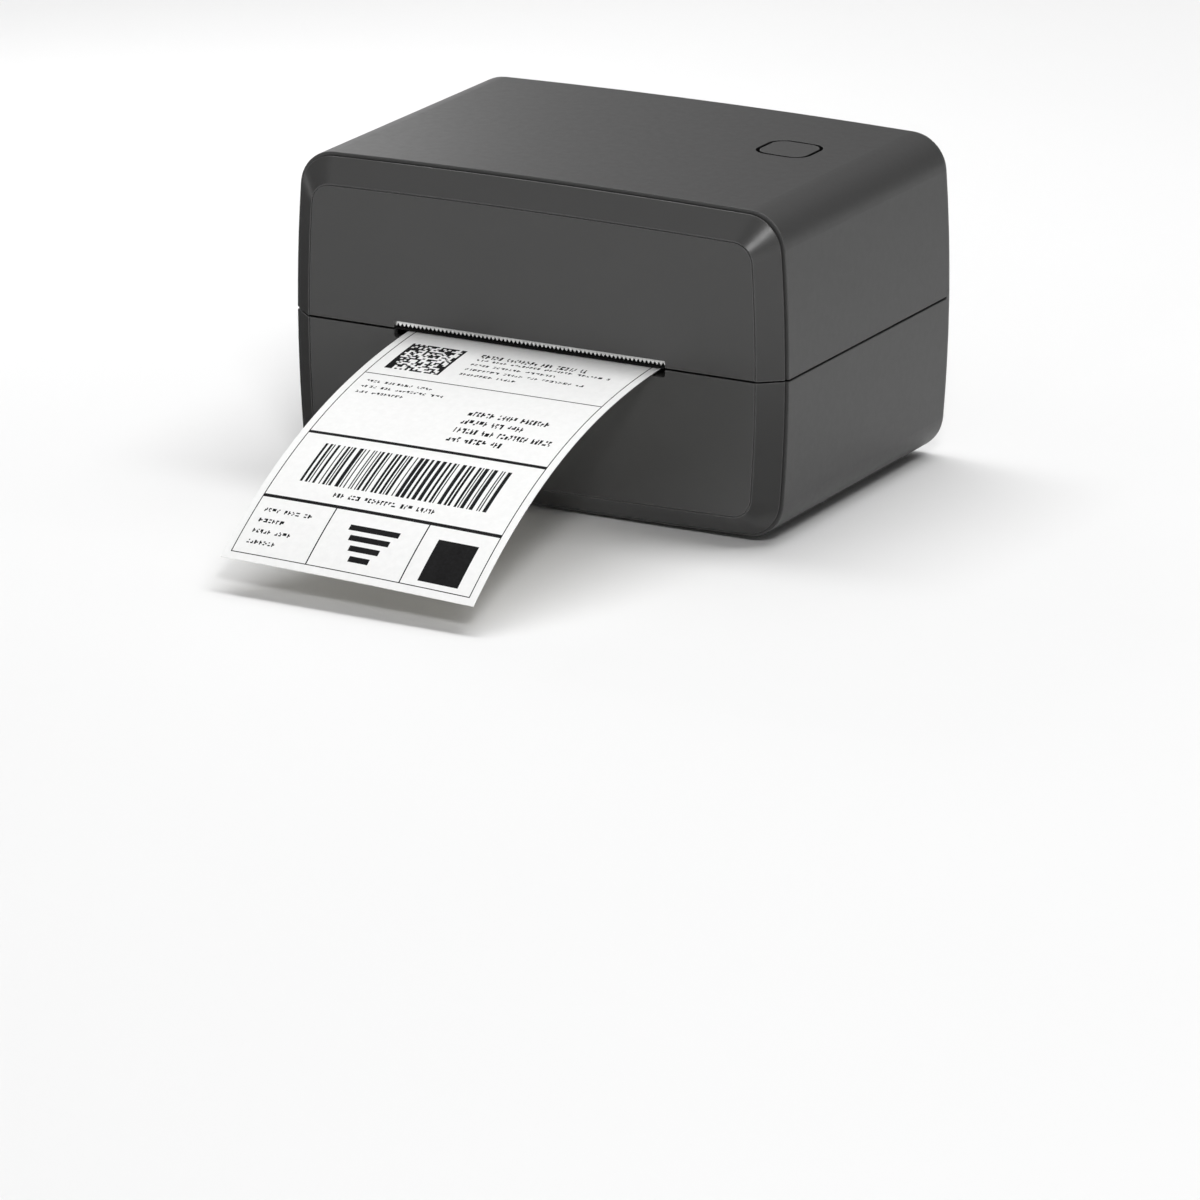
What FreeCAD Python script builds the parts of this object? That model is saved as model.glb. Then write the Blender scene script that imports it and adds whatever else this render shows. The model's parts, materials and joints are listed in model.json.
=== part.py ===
import FreeCAD, Part
import math
import os

# Desktop thermal label printer, 4-inch media, with a clamshell lid.
# Frame: origin on the standing surface under the middle of the housing,
# +X to the right seen from the front, +Y to the rear, +Z up. Millimetres.

V = FreeCAD.Vector

# ---------------------------------------------------------------- driving dimensions
HALF_W = 99.7          # half width of the housing sleeve
HALF_H = 60.5          # half height of the housing sleeve
Z_MID = 61.7           # mid height of the sleeve (the feet hold it up)
R_SIDE = 600.0         # radius of the slightly bowed sides
R_TOP = 3228.0         # radius of the slightly bowed top and bottom
R_CORNER = 14.2        # radius of the long corners
Y_EDGE = -61.2         # front edge of the sleeve
Y_FRONT = -68.8        # flat front panel
Y_REAR = 68.8          # rear face
REAR_FILLET = 5.0
WALL = 2.5
PANEL_HALF_W = 90.7    # flat panel inside the sloped front border
PANEL_HALF_H = 51.3
PANEL_Z = 60.9
PANEL_R_SIDE = 605.0
PANEL_R_TOP = 3605.0
PANEL_CORNER = 8.1
Z_PART = 61.2          # parting plane between lid and base
PART_GAP = 0.7
SEAM = 0.6             # gap between the front frame and the sleeve

SLOT_X = -0.4          # middle of the label slot
SLOT_W = 109.6
SLOT_Z0 = 58.2
SLOT_Z1 = 64.05

MEDIA_X = 1.0          # middle of the media path
LABEL_W = 101.6        # 4 inch label
LABEL_T = 0.25

PLATEN_Y = -48.0       # print line
PLATEN_Z = 52.9
PLATEN_R = 8.0
PLATEN_HALF = 57.0
SHAFT_R = 3.0
RUN = 0.05             # radial running clearance

GEAR_M = 0.6
N_PLATEN, N_SMALL, N_LARGE, N_MOTOR = 24, 16, 40, 12
ANG_IDLER = -60.0      # direction from platen to idler, in the YZ plane
ANG_MOTOR = -70.0      # direction from idler to motor

HINGE_Y = 66.5         # lid hinge axis
HINGE_Z = 61.2
HINGE_R = 3.75         # rounded top of the rear wall, about the hinge axis
HINGE_CLEAR = 0.3
PIN_R = 1.5

BUTTON_X, BUTTON_Y = 58.1, 18.6
BUTTON = 18.7
BUTTON_GAP = 1.3

DECK_Z = 48.0
GUIDE_M = 1.0
GUIDE_TEETH = 16
GUIDE_Y = 26.0

FOOT_R = 7.0
FOOT_X, FOOT_Y = 74.0, 46.0

os.makedirs("parts", exist_ok=True)
NODES = {}


# ---------------------------------------------------------------- helpers
def box(x0, x1, y0, y1, z0, z1):
    return Part.makeBox(x1 - x0, y1 - y0, z1 - z0, V(x0, y0, z0))


def cyl_x(y, z, r, x0, x1):
    return Part.makeCylinder(r, x1 - x0, V(x0, y, z), V(1, 0, 0))


def cyl_y(x, z, r, y0, y1):
    return Part.makeCylinder(r, y1 - y0, V(x, y0, z), V(0, 1, 0))


def cyl_z(x, y, r, z0, z1):
    return Part.makeCylinder(r, z1 - z0, V(x, y, z0), V(0, 0, 1))


def prism(points, direction):
    wire = Part.makePolygon(points + [points[0]])
    return Part.Face(wire).extrude(direction)


def prism_yz(pts, x0, x1):
    return prism([V(x0, y, z) for y, z in pts], V(x1 - x0, 0, 0))


def prism_xz(pts, y0, y1):
    return prism([V(x, y0, z) for x, z in pts], V(0, y1 - y0, 0))


def prism_xy(pts, z0, z1):
    return prism([V(x, y, z0) for x, y in pts], V(0, 0, z1 - z0))


def fuse(*shapes):
    out = shapes[0]
    if len(shapes) > 1:
        out = out.multiFuse(list(shapes[1:]))
    return out.removeSplitter()


def cut(shape, *tools):
    for tool in tools:
        shape = shape.cut(tool)
    return shape


def mirror_x(shape, x=0.0):
    return shape.mirror(V(x, 0, 0), V(1, 0, 0))


def rounded_square(cx, cy, size_x, size_y, r, z0, z1):
    solid = box(cx - size_x / 2, cx + size_x / 2, cy - size_y / 2, cy + size_y / 2, z0, z1)
    edges = [e for e in solid.Edges
             if abs(e.tangentAt(e.FirstParameter).z) > 0.9]
    return solid.makeFillet(r, edges)


def rounded_box_y(x0, x1, y0, y1, z0, z1, r):
    solid = box(x0, x1, y0, y1, z0, z1)
    edges = [e for e in solid.Edges
             if abs(e.tangentAt(e.FirstParameter).y) > 0.9]
    return solid.makeFillet(r, edges)


def try_fillet(shape, radius, wanted, label):
    edges = [e for e in shape.Edges if wanted(e)]
    if not edges:
        print("fillet", label, "no edges")
        return shape
    for r in (radius, radius * 0.7, radius * 0.45):
        try:
            out = shape.makeFillet(r, edges)
            if out.isValid() and abs(out.Volume - shape.Volume) < 0.2 * shape.Volume:
                return out
        except Exception:
            pass
    print("fillet", label, "left sharp")
    return shape


def in_box(e, x0, x1, y0, y1, z0, z1):
    b = e.BoundBox
    return (b.XMin >= x0 and b.XMax <= x1 and b.YMin >= y0 and b.YMax <= y1
            and b.ZMin >= z0 and b.ZMax <= z1)


def profile(half_w, half_h, zc, r_side, r_top, r_corner, y, inset=0.0):
    """Closed outline in an XZ plane: bowed sides joined by tangent corner arcs."""
    a, b = half_w - inset, half_h - inset
    rs, rt, rc = r_side - inset, r_top - inset, r_corner - inset
    sx, tz = a - rs, b - rt              # arc centres: right side (sx, 0), top (0, tz)
    d1, d2 = rs - rc, rt - rc
    # corner centre: d1 from (sx, 0) and d2 from (0, tz)
    ex, ez = -sx, tz
    dist = math.hypot(ex, ez)
    along = (d1 * d1 - d2 * d2 + dist * dist) / (2 * dist)
    off = math.sqrt(d1 * d1 - along * along)
    ux, uz = ex / dist, ez / dist
    best = None
    for s in (1, -1):
        cx, cz = sx + ux * along - s * uz * off, uz * along + s * ux * off
        if cx > 0 and cz > 0:
            best = (cx, cz)
    cx, cz = best
    n1 = ((cx - sx) / d1, cz / d1)
    n2 = (cx / d2, (cz - tz) / d2)
    p1 = (sx + n1[0] * rs, n1[1] * rs)   # side meets corner
    p2 = (n2[0] * rt, tz + n2[1] * rt)   # corner meets top
    mx, mz = n1[0] + n2[0], n1[1] + n2[1]
    ml = math.hypot(mx, mz)
    pm = (cx + mx / ml * rc, cz + mz / ml * rc)

    def q(p, sx_, sz_):
        return V(p[0] * sx_, y, zc + p[1] * sz_)

    edges = []

    def arc(p, m, n):
        edges.append(Part.Arc(p, m, n).toShape())

    arc(q(p1, 1, -1), V(a, y, zc), q(p1, 1, 1))
    arc(q(p1, 1, 1), q(pm, 1, 1), q(p2, 1, 1))
    arc(q(p2, 1, 1), V(0, y, zc + b), q(p2, -1, 1))
    arc(q(p2, -1, 1), q(pm, -1, 1), q(p1, -1, 1))
    arc(q(p1, -1, 1), V(-a, y, zc), q(p1, -1, -1))
    arc(q(p1, -1, -1), q(pm, -1, -1), q(p2, -1, -1))
    arc(q(p2, -1, -1), V(0, y, zc - b), q(p2, 1, -1))
    arc(q(p2, 1, -1), q(pm, 1, -1), q(p1, 1, -1))
    return Part.Wire(edges)


def sleeve_wire(y, inset=0.0):
    return profile(HALF_W, HALF_H, Z_MID, R_SIDE, R_TOP, R_CORNER, y, inset)


def panel_wire(y, inset=0.0):
    return profile(PANEL_HALF_W, PANEL_HALF_H, PANEL_Z, PANEL_R_SIDE, PANEL_R_TOP,
                   PANEL_CORNER, y, inset)


def sleeve_solid(y0, y1, inset=0.0):
    return Part.Face(sleeve_wire(y0, inset)).extrude(V(0, y1 - y0, 0))


def panel_solid(y0, y1, inset=0.0):
    return Part.Face(panel_wire(y0, inset)).extrude(V(0, y1 - y0, 0))


def gear_points(n, m, phase, cy, cz, backlash=0.07):
    """Involute outline, one tooth centred at the angle phase (radians)."""
    pa = math.radians(20.0)
    r = m * n / 2.0
    rb = r * math.cos(pa)
    ra = r + 0.75 * m
    rf = r - 1.05 * m
    half = math.pi / (2 * n) - backlash / r
    inv = math.tan(pa) - pa

    def flank(radius):
        if radius <= rb:
            return half + inv
        t = math.acos(rb / radius)
        return half + inv - (math.tan(t) - t)

    lo = max(rb, rf)
    radii = [rf] if rf < rb else []
    radii += [lo, lo + (ra - lo) * 0.4, lo + (ra - lo) * 0.75, ra]
    pts = []
    for k in range(n):
        a0 = phase + 2 * math.pi * k / n
        for rad in radii:
            a = a0 - flank(rad)
            pts.append((cy + rad * math.cos(a), cz + rad * math.sin(a)))
        for rad in reversed(radii):
            a = a0 + flank(rad)
            pts.append((cy + rad * math.cos(a), cz + rad * math.sin(a)))
    return pts


def screw(x, y, z_seat, down, head_r=2.6, head_h=1.8, shank_r=1.4, length=7.0):
    """Pan-head screw with a cross recess; head seats at z_seat, shank goes down or up."""
    s = -1 if down else 1
    if down:
        body = fuse(cyl_z(x, y, head_r, z_seat, z_seat + head_h),
                    cyl_z(x, y, shank_r, z_seat - length, z_seat))
        top = z_seat + head_h
        rec = [box(x - 1.5, x + 1.5, y - 0.3, y + 0.3, top - 0.8, top + 1),
               box(x - 0.3, x + 0.3, y - 1.5, y + 1.5, top - 0.8, top + 1)]
        edges = [e for e in body.Edges if abs(e.BoundBox.ZMin - top) < 1e-6]
    else:
        body = fuse(cyl_z(x, y, head_r, z_seat - head_h, z_seat),
                    cyl_z(x, y, shank_r, z_seat, z_seat + length))
        top = z_seat - head_h
        rec = [box(x - 1.5, x + 1.5, y - 0.3, y + 0.3, top - 1, top + 0.8),
               box(x - 0.3, x + 0.3, y - 1.5, y + 1.5, top - 1, top + 0.8)]
        edges = [e for e in body.Edges if abs(e.BoundBox.ZMax - top) < 1e-6]
    try:
        body = body.makeFillet(0.8, edges)
    except Exception:
        pass
    return cut(body, *rec)


def put(name, shape):
    if isinstance(shape, (list, tuple)):
        solids = []
        for s in shape:
            solids.extend(s.Solids)
        shape = Part.makeCompound(solids) if len(solids) > 1 else solids[0]
    solids = shape.Solids
    good = all(s.isValid() and s.isClosed() for s in solids)
    NODES[name] = shape
    print("%-18s solids %d  volume %.1f  %s" % (
        name, len(solids), sum(s.Volume for s in solids), "ok" if good else "BAD"))


# ---------------------------------------------------------------- positions of the drive
ai = math.radians(ANG_IDLER)
am = math.radians(ANG_MOTOR)
dist1 = GEAR_M * (N_PLATEN + N_SMALL) / 2.0
dist2 = GEAR_M * (N_LARGE + N_MOTOR) / 2.0
IDLER_Y = PLATEN_Y + dist1 * math.cos(ai)
IDLER_Z = PLATEN_Z + dist1 * math.sin(ai)
MOTOR_Y = IDLER_Y + dist2 * math.cos(am)
MOTOR_Z = IDLER_Z + dist2 * math.sin(am)
print("idler", IDLER_Y, IDLER_Z, "motor", MOTOR_Y, MOTOR_Z)

# ---------------------------------------------------------------- housing sleeve
outer = sleeve_solid(Y_EDGE, Y_REAR)
outer = try_fillet(outer, REAR_FILLET, lambda e: abs(e.BoundBox.YMin - Y_REAR) < 1e-4
                   and abs(e.BoundBox.YMax - Y_REAR) < 1e-4, "rear edge")
outer = try_fillet(outer, 0.3, lambda e: abs(e.BoundBox.YMin - Y_EDGE) < 1e-4
                   and abs(e.BoundBox.YMax - Y_EDGE) < 1e-4, "front edge")
inner = sleeve_solid(Y_EDGE - 5, Y_REAR - WALL, WALL)
inner = try_fillet(inner, 2.5, lambda e: abs(e.BoundBox.YMin - (Y_REAR - WALL)) < 1e-4,
                   "rear inner edge")
shell = outer.cut(inner)

z_low = Z_PART - PART_GAP / 2
z_high = Z_PART + PART_GAP / 2
BIG = 400.0
below = box(-BIG, BIG, -BIG, BIG, -50, z_low)
above = box(-BIG, BIG, -BIG, BIG, z_high, 300)

# lower half: its rear wall is rounded about the hinge axis
hinge_round = cyl_x(HINGE_Y, HINGE_Z, HINGE_R, -BIG, BIG)
base_sharp = shell.common(below)
base_half = try_fillet(base_sharp, 0.35, lambda e: abs(e.BoundBox.ZMin - z_low) < 1e-5
                       and abs(e.BoundBox.ZMax - z_low) < 1e-5
                       and (abs(e.BoundBox.Center.x) > HALF_W - 1.0), "base parting")
ear = shell.common(hinge_round)
base = base_half.fuse(ear).removeSplitter()

# lid half, cleared about the hinge axis
lid_sharp = shell.common(above)
lid_half = try_fillet(lid_sharp, 0.35, lambda e: abs(e.BoundBox.ZMin - z_high) < 1e-5
                      and abs(e.BoundBox.ZMax - z_high) < 1e-5
                      and (abs(e.BoundBox.Center.x) > HALF_W - 1.0), "lid parting")
lid = lid_half.cut(cyl_x(HINGE_Y, HINGE_Z, HINGE_R + HINGE_CLEAR, -BIG, BIG))

# hinge knuckles: lid knuckle between two base knuckles at each side
KN_IN, KN_OUT, KN_W = 66.0, 80.0, 7.0
KN_R = 3.5
lid_knuckles, base_knuckles, pin_list = [], [], []
for sgn in (1, -1):
    x0, x1 = (KN_IN, KN_OUT) if sgn > 0 else (-KN_OUT, -KN_IN)
    arm = prism_yz([(HINGE_Y - 3.2, HINGE_Z), (HINGE_Y + 1.2, HINGE_Z),
                    (HINGE_Y + 1.2, HINGE_Z + 9.0), (HINGE_Y - 0.6, HINGE_Z + 9.0),
                    (HINGE_Y - 3.2, HINGE_Z + 5.5)], x0, x1)
    knuckle = fuse(cyl_x(HINGE_Y, HINGE_Z, KN_R, x0, x1), arm)
    lid_knuckles.append(knuckle)
    for k0, k1 in ((x0 - 0.3 - KN_W, x0 - 0.3), (x1 + 0.3, x1 + 0.3 + KN_W)):
        leg = prism_yz([(HINGE_Y - 3.2, HINGE_Z), (HINGE_Y + 2.3, HINGE_Z),
                        (HINGE_Y + 2.3, HINGE_Z - 8.0), (HINGE_Y - 0.6, HINGE_Z - 8.0),
                        (HINGE_Y - 3.2, HINGE_Z - 5.0)], k0, k1)
        base_knuckles.append(fuse(cyl_x(HINGE_Y, HINGE_Z, KN_R, k0, k1), leg))
    pin_list.append(cyl_x(HINGE_Y, HINGE_Z, PIN_R, x0 - 0.3 - KN_W + 0.6, x1 + 0.3 + KN_W - 0.6))

for sgn in (1, -1):
    x0, x1 = (KN_IN - 0.3, KN_OUT + 0.3) if sgn > 0 else (-KN_OUT - 0.3, -KN_IN + 0.3)
    base = base.cut(box(x0, x1, HINGE_Y - 6, HINGE_Y + 6, z_low - 0.6, HINGE_Z + 8))
    base = base.cut(cyl_x(HINGE_Y, HINGE_Z, KN_R + 0.4, x0, x1))
base = fuse(base, *base_knuckles)
lid = fuse(lid, *lid_knuckles)
for pin in pin_list:
    b = pin.BoundBox
    base = base.cut(cyl_x(HINGE_Y, HINGE_Z, PIN_R, b.XMin, b.XMax))
    lid = lid.cut(cyl_x(HINGE_Y, HINGE_Z, PIN_R + RUN, b.XMin - 3, b.XMax + 3))
put("hinge_pins", pin_list)

# ---------------------------------------------------------------- base shell details
floor_z = Z_MID - HALF_H + WALL
for sx in (1, -1):
    for sy in (1, -1):
        base = base.cut(cyl_z(sx * FOOT_X, sy * FOOT_Y, FOOT_R + 0.1, -5, 3.0))
feet = []
for sx in (1, -1):
    for sy in (1, -1):
        foot = cyl_z(sx * FOOT_X, sy * FOOT_Y, FOOT_R, 0, 3.0)
        foot = foot.makeFillet(0.7, [e for e in foot.Edges if abs(e.BoundBox.ZMax) < 1e-6
                                     and len(e.Vertexes) == 1])
        feet.append(foot)
put("rubber_feet", feet)

bosses = []
DECK_SCREWS = [(86, -14), (86, 52), (-86, -14), (-86, 52)]
for x, y in DECK_SCREWS:
    bosses.append(cut(cyl_z(x, y, 4.0, floor_z - 0.6, 55.5), cyl_z(x, y, 1.4, 40, 60)))
PLATE_SCREWS = [(-61.0, -51.0), (-61.0, -20.0), (61.0, -51.0), (61.0, -38.0)]
for x, y in PLATE_SCREWS:
    bosses.append(cut(cyl_z(x, y, 3.6, floor_z - 0.6, 6.0), cyl_z(x, y, 1.4, 4.4, 9)))
BOARD_SCREWS = [(-30, -4), (72, -4), (-30, 46), (72, 40)]
for x, y in BOARD_SCREWS:
    bosses.append(cut(cyl_z(x, y, 3.2, floor_z - 0.6, 9.0), cyl_z(x, y, 1.2, 4.4, 12)))
# alignment tongues inside the side walls
for sgn in (1, -1):
    t = [(95.0, 56.0), (97.6, 54.5), (97.6, 59.6), (96.7, 60.2), (96.7, 63.2), (95.6, 63.2), (95.0, 62.6)]
    bosses.append(prism_xz([(sgn * x, z) for x, z in t], -50, 50))
base = fuse(base, *bosses)

# rear openings: media inlet, switch, socket and data port
inlet = rounded_box_y(-60, 60, 60, 80, 46.4, 56.0, 1.5)
base = base.cut(inlet)
SW_X, SW_Z = -70.0, 24.0
base = base.cut(rounded_box_y(SW_X - 9.7, SW_X + 9.7, 60, 80, SW_Z - 6.6, SW_Z + 6.6, 0.8))
DC_X, USB_X = 64.0, 38.0
base = base.cut(rounded_box_y(DC_X - 5.0, DC_X + 5.0, 60, 80, 10.3, 22.3, 0.8))
base = base.cut(rounded_box_y(USB_X - 6.4, USB_X + 6.4, 60, 80, 10.3, 22.3, 0.8))
# fine cooling slits low on the rear wall
for i in range(7):
    x = -28 + i * 7.0
    base = base.cut(rounded_box_y(x - 1.0, x + 1.0, 62, 80, 14, 36, 0.9))
# two rows of cooling slits in the bottom under the main board, and a shallow bare field beside them
under_z = floor_z - WALL
for i in range(11):
    for y in (10.0, 33.0):
        base = base.cut(rounded_square(-14 + i * 7.0, y, 2.4, 17.0, 1.1, under_z - 3, floor_z + 0.6))
base = base.cut(rounded_square(0.0, -30.0, 62.0, 34.0, 2.0, under_z - 3, under_z + 0.5))
put("base_shell", base)

# ---------------------------------------------------------------- front frames
solid_out = Part.makeLoft([sleeve_wire(Y_EDGE), panel_wire(Y_FRONT)], True, True)
solid_in = Part.makeLoft([sleeve_wire(Y_EDGE + 1.0, 2.8), panel_wire(Y_FRONT + 2.4, 0.9)], True, True)
front = solid_out.cut(solid_in)
front = front.cut(box(-BIG, BIG, Y_EDGE - SEAM, 50, -50, 300))
front = try_fillet(front, 0.3, lambda e: abs(e.BoundBox.YMin - (Y_EDGE - SEAM)) < 1e-4
                   and abs(e.BoundBox.YMax - (Y_EDGE - SEAM)) < 1e-4
                   and (max(abs(e.BoundBox.XMin), abs(e.BoundBox.XMax)) > HALF_W - 1.7
                        or max(abs(e.BoundBox.ZMin - Z_MID), abs(e.BoundBox.ZMax - Z_MID)) > HALF_H - 1.7),
                   "front frame edge")
lip = sleeve_solid(Y_EDGE - SEAM - 0.8, Y_EDGE + 5.0, 2.75).cut(sleeve_solid(-80, 0, 3.8))
front = front.fuse(lip).removeSplitter()
groove = panel_solid(Y_FRONT - 1, Y_FRONT + 0.5, 0.3).cut(panel_solid(Y_FRONT - 2, Y_FRONT + 2, 0.62))
front = front.cut(groove)
front = try_fillet(front, 0.28, lambda e: abs(e.BoundBox.YMin - Y_FRONT) < 1e-4 and abs(e.BoundBox.YMax - Y_FRONT) < 1e-4
                   and max(abs(e.BoundBox.XMin), abs(e.BoundBox.XMax)) < PANEL_HALF_W - 0.5
                   and max(abs(e.BoundBox.ZMin - PANEL_Z), abs(e.BoundBox.ZMax - PANEL_Z)) < PANEL_HALF_H - 0.5,
                   "panel edge")
slot = rounded_box_y(SLOT_X - SLOT_W / 2, SLOT_X + SLOT_W / 2, -80, -50, SLOT_Z0, SLOT_Z1, 0.8)
front = front.cut(slot)
front = try_fillet(front, 0.35, lambda e: abs(e.BoundBox.YMin - Y_FRONT) < 1e-4 and abs(e.BoundBox.YMax - Y_FRONT) < 1e-4
                   and abs(e.BoundBox.Center.x - SLOT_X) < SLOT_W / 2 + 0.01
                   and SLOT_Z0 - 0.01 < e.BoundBox.ZMin and e.BoundBox.ZMax < SLOT_Z1 + 0.01, "slot edge")

front_base = front.common(below)
front_lid = front.common(above)


def parting_outer(z):
    return lambda e: (abs(e.BoundBox.ZMin - z) < 1e-5 and abs(e.BoundBox.ZMax - z) < 1e-5
                      and e.BoundBox.YMax < Y_EDGE - SEAM + 0.01
                      and (e.BoundBox.YMax < Y_FRONT + 0.02 or abs(e.BoundBox.Center.x) > 94.0)
                      and e.Length > 2.0)


front_base = try_fillet(front_base, 0.3, parting_outer(z_low), "front base parting")
lid_edges = parting_outer(z_high)
for sgn in (1, -1):
    front_lid = try_fillet(front_lid, 0.3, lambda e: lid_edges(e) and sgn * e.BoundBox.Center.x > 0
                           and e.BoundBox.YMax < Y_FRONT + 0.02, "front lid parting, panel")
    front_lid = try_fillet(front_lid, 0.3, lambda e: lid_edges(e) and sgn * e.BoundBox.Center.x > 94.0, "front lid parting, border")

# lower front: shelf behind the slot that carries the label out
shelf = prism_yz([(-66.6, SLOT_Z0 - 2.2), (-66.6, SLOT_Z0), (-59.2, SLOT_Z0), (-58.2, SLOT_Z0 - 0.6),
                  (-58.2, SLOT_Z0 - 1.6), (-59.5, SLOT_Z0 - 2.2)], SLOT_X - 56, SLOT_X + 56)
front_base = fuse(front_base, shelf)
put("base_front", front_base)

# upper front: rebate for the tear bar behind the panel, and four studs that hold the bar
front_lid = front_lid.cut(box(SLOT_X - 56.2, SLOT_X + 56.2, -67.8, -66.0, 60, 72.2))
front_lid = front_lid.cut(box(SLOT_X - SLOT_W / 2, SLOT_X + SLOT_W / 2, -70, -66, 60, SLOT_Z1))
TEAR_STUDS = [-45.4, 44.6]
studs = [cyl_y(x, 68.6, 1.5, -67.9, -66.2) for x in TEAR_STUDS]
front_lid = fuse(front_lid, *studs)
put("lid_front", front_lid)

# ---------------------------------------------------------------- tear bar
TOOTH = 1.65
tips, z_tip, z_root = [], 62.1, 63.35
n_teeth = 67
x_start = SLOT_X - n_teeth * TOOTH / 2
for i in range(n_teeth):
    tips += [(x_start + i * TOOTH, z_root), (x_start + (i + 0.5) * TOOTH, z_tip)]
tips.append((x_start + n_teeth * TOOTH, z_root))
bar = prism_xz(tips + [(tips[-1][0], 71.8), (tips[0][0], 71.8)], -67.75, -66.95)
for x in TEAR_STUDS:
    bar = bar.cut(cyl_y(x, 68.6, 1.6, -70, -60))
put("tear_bar", bar)
# guard strip pressed on the same studs: it backs the bar and closes the slot down to the label
guard = prism_yz([(-66.9, 71.4), (-65.2, 71.4), (-65.2, 62.2), (-65.9, 61.25), (-68.2, 61.07), (-68.45, 61.15),
                  (-68.45, 61.6), (-68.2, 61.85), (-66.9, 61.9)], SLOT_X - 54.2, SLOT_X + 54.2)
for x in TEAR_STUDS:
    guard = guard.cut(cyl_y(x, 68.6, 1.5, -67, -66.2))
put("tear_bar_guard", guard)

# ---------------------------------------------------------------- lid shell details
lid_tools = []
LID_BOSS = [(84, -40), (84, 46), (-84, -40), (-84, 46)]
lid_bosses = []
for x, y in LID_BOSS:
    lid_bosses.append(cut(cyl_z(x, y, 4.0, 72.0, 119.0), cyl_z(x, y, 1.4, 60, 90)))
BOARD_BOSS = [(BUTTON_X - 15.4, BUTTON_Y), (BUTTON_X + 15.4, BUTTON_Y)]
for x, y in BOARD_BOSS:
    lid_bosses.append(cut(cyl_z(x, y, 3.0, 107.6, 119.6), cyl_z(x, y, 1.2, 100, 114)))
hole = rounded_square(BUTTON_X, BUTTON_Y, BUTTON + 2 * BUTTON_GAP, BUTTON + 2 * BUTTON_GAP, 6.55, 100, 140)
lid = fuse(lid, *lid_bosses)
lid = lid.cut(hole)
lid = try_fillet(lid, 0.2, lambda e: e.BoundBox.ZMin > 120.9
                 and abs(e.BoundBox.Center.x - BUTTON_X) < 12.5
                 and abs(e.BoundBox.Center.y - BUTTON_Y) < 12.5, "button hole")
put("lid_shell", lid)

# ---------------------------------------------------------------- feed button
cap = rounded_square(BUTTON_X, BUTTON_Y, BUTTON, BUTTON, 5.25, 117.4, 140).common(outer)
cap = try_fillet(cap, 0.2, lambda e: e.BoundBox.ZMin > 120.5, "button edge")
flange = rounded_square(BUTTON_X, BUTTON_Y, 22.8, 22.8, 6.5, 117.4, 118.5)
stem = cyl_z(BUTTON_X, BUTTON_Y, 3.0, 112.9, 118.0)
put("feed_button", fuse(cap, flange, stem))
put("button_spring", cut(cyl_z(BUTTON_X, BUTTON_Y, 5.4, 107.6, 117.4),
                         cyl_z(BUTTON_X, BUTTON_Y, 4.6, 100, 130)))
board = box(BUTTON_X - 19, BUTTON_X + 19, BUTTON_Y - 10, BUTTON_Y + 10, 106.0, 107.6)
for x, y in BOARD_BOSS:
    board = board.cut(cyl_z(x, y, 1.5, 100, 120))
put("button_board", board)
put("button_switch", fuse(box(BUTTON_X - 3, BUTTON_X + 3, BUTTON_Y - 3, BUTTON_Y + 3, 107.6, 110.9),
                          cyl_z(BUTTON_X, BUTTON_Y, 1.7, 110.9, 111.6)))
put("button_board_screws", [screw(x, y, 106.0, False, 2.4, 1.5, 1.2, 6.0) for x, y in BOARD_BOSS])

# ---------------------------------------------------------------- lid liner
liner = box(-120, 120, -54.5, 60, 70, 72).common(sleeve_solid(-60, 62, WALL + 0.3))
liner = liner.cut(box(-66, 66, -70, -27, 60, 80))
liner = liner.cut(box(-61, 61, -28, -16, 60, 80))
for x, y in LID_BOSS:
    liner = liner.cut(cyl_z(x, y, 1.6, 60, 80))
LATCH_Y, LATCH_Z, LATCH_R = -30.0, 77.0, 2.5
PIVOT_Y, PIVOT_Z, PIVOT_R = -21.5, 75.0, 1.5
ears = []
for sgn in (1, -1):
    x0, x1 = sorted((sgn * 61.5, sgn * 65.0))
    ears.append(prism_yz([(-25.0, 71.0), (-17.8, 71.0), (-17.8, 77.0), (-19.4, 78.6),
                          (-23.4, 78.6), (-25.0, 77.0)], x0, x1))
    x0, x1 = sorted((sgn * 66.5, sgn * 69.5))
    ears.append(prism_yz([(-35.5, 71.0), (-24.5, 71.0), (-25.5, 79.5), (-27.5, 81.2),
                          (-32.5, 81.2), (-34.5, 79.5)], x0, x1))
# stiffening rim and ribs on the upper side
ears.append(box(-92, 92, 57.6, 59.6, 71, 77))
for x in (-40, 0, 40):
    ears.append(box(x - 0.9, x + 0.9, -14, 58, 71, 76))
# ribs on the lower side that keep the web down
for x in (-46, -23, 0, 23, 46):
    ears.append(prism_yz([(-12.0, 70.6), (-12.0, 69.6), (-7.0, 67.8), (49.0, 67.8), (54.0, 69.6), (54.0, 70.6)],
                         x - 0.8, x + 0.8))
liner = fuse(liner, *ears)
liner = liner.cut(cyl_x(PIVOT_Y, PIVOT_Z, PIVOT_R, -66, 66))
liner = liner.cut(cyl_x(LATCH_Y, LATCH_Z, LATCH_R + RUN, -80, 80))
put("lid_liner", liner)
put("liner_screws", [screw(x, y, 70.0, False, 2.8, 1.8, 1.4, 9.0) for x, y in LID_BOSS])
put("head_pivot_rod", cyl_x(PIVOT_Y, PIVOT_Z, PIVOT_R, -65, 65))

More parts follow.
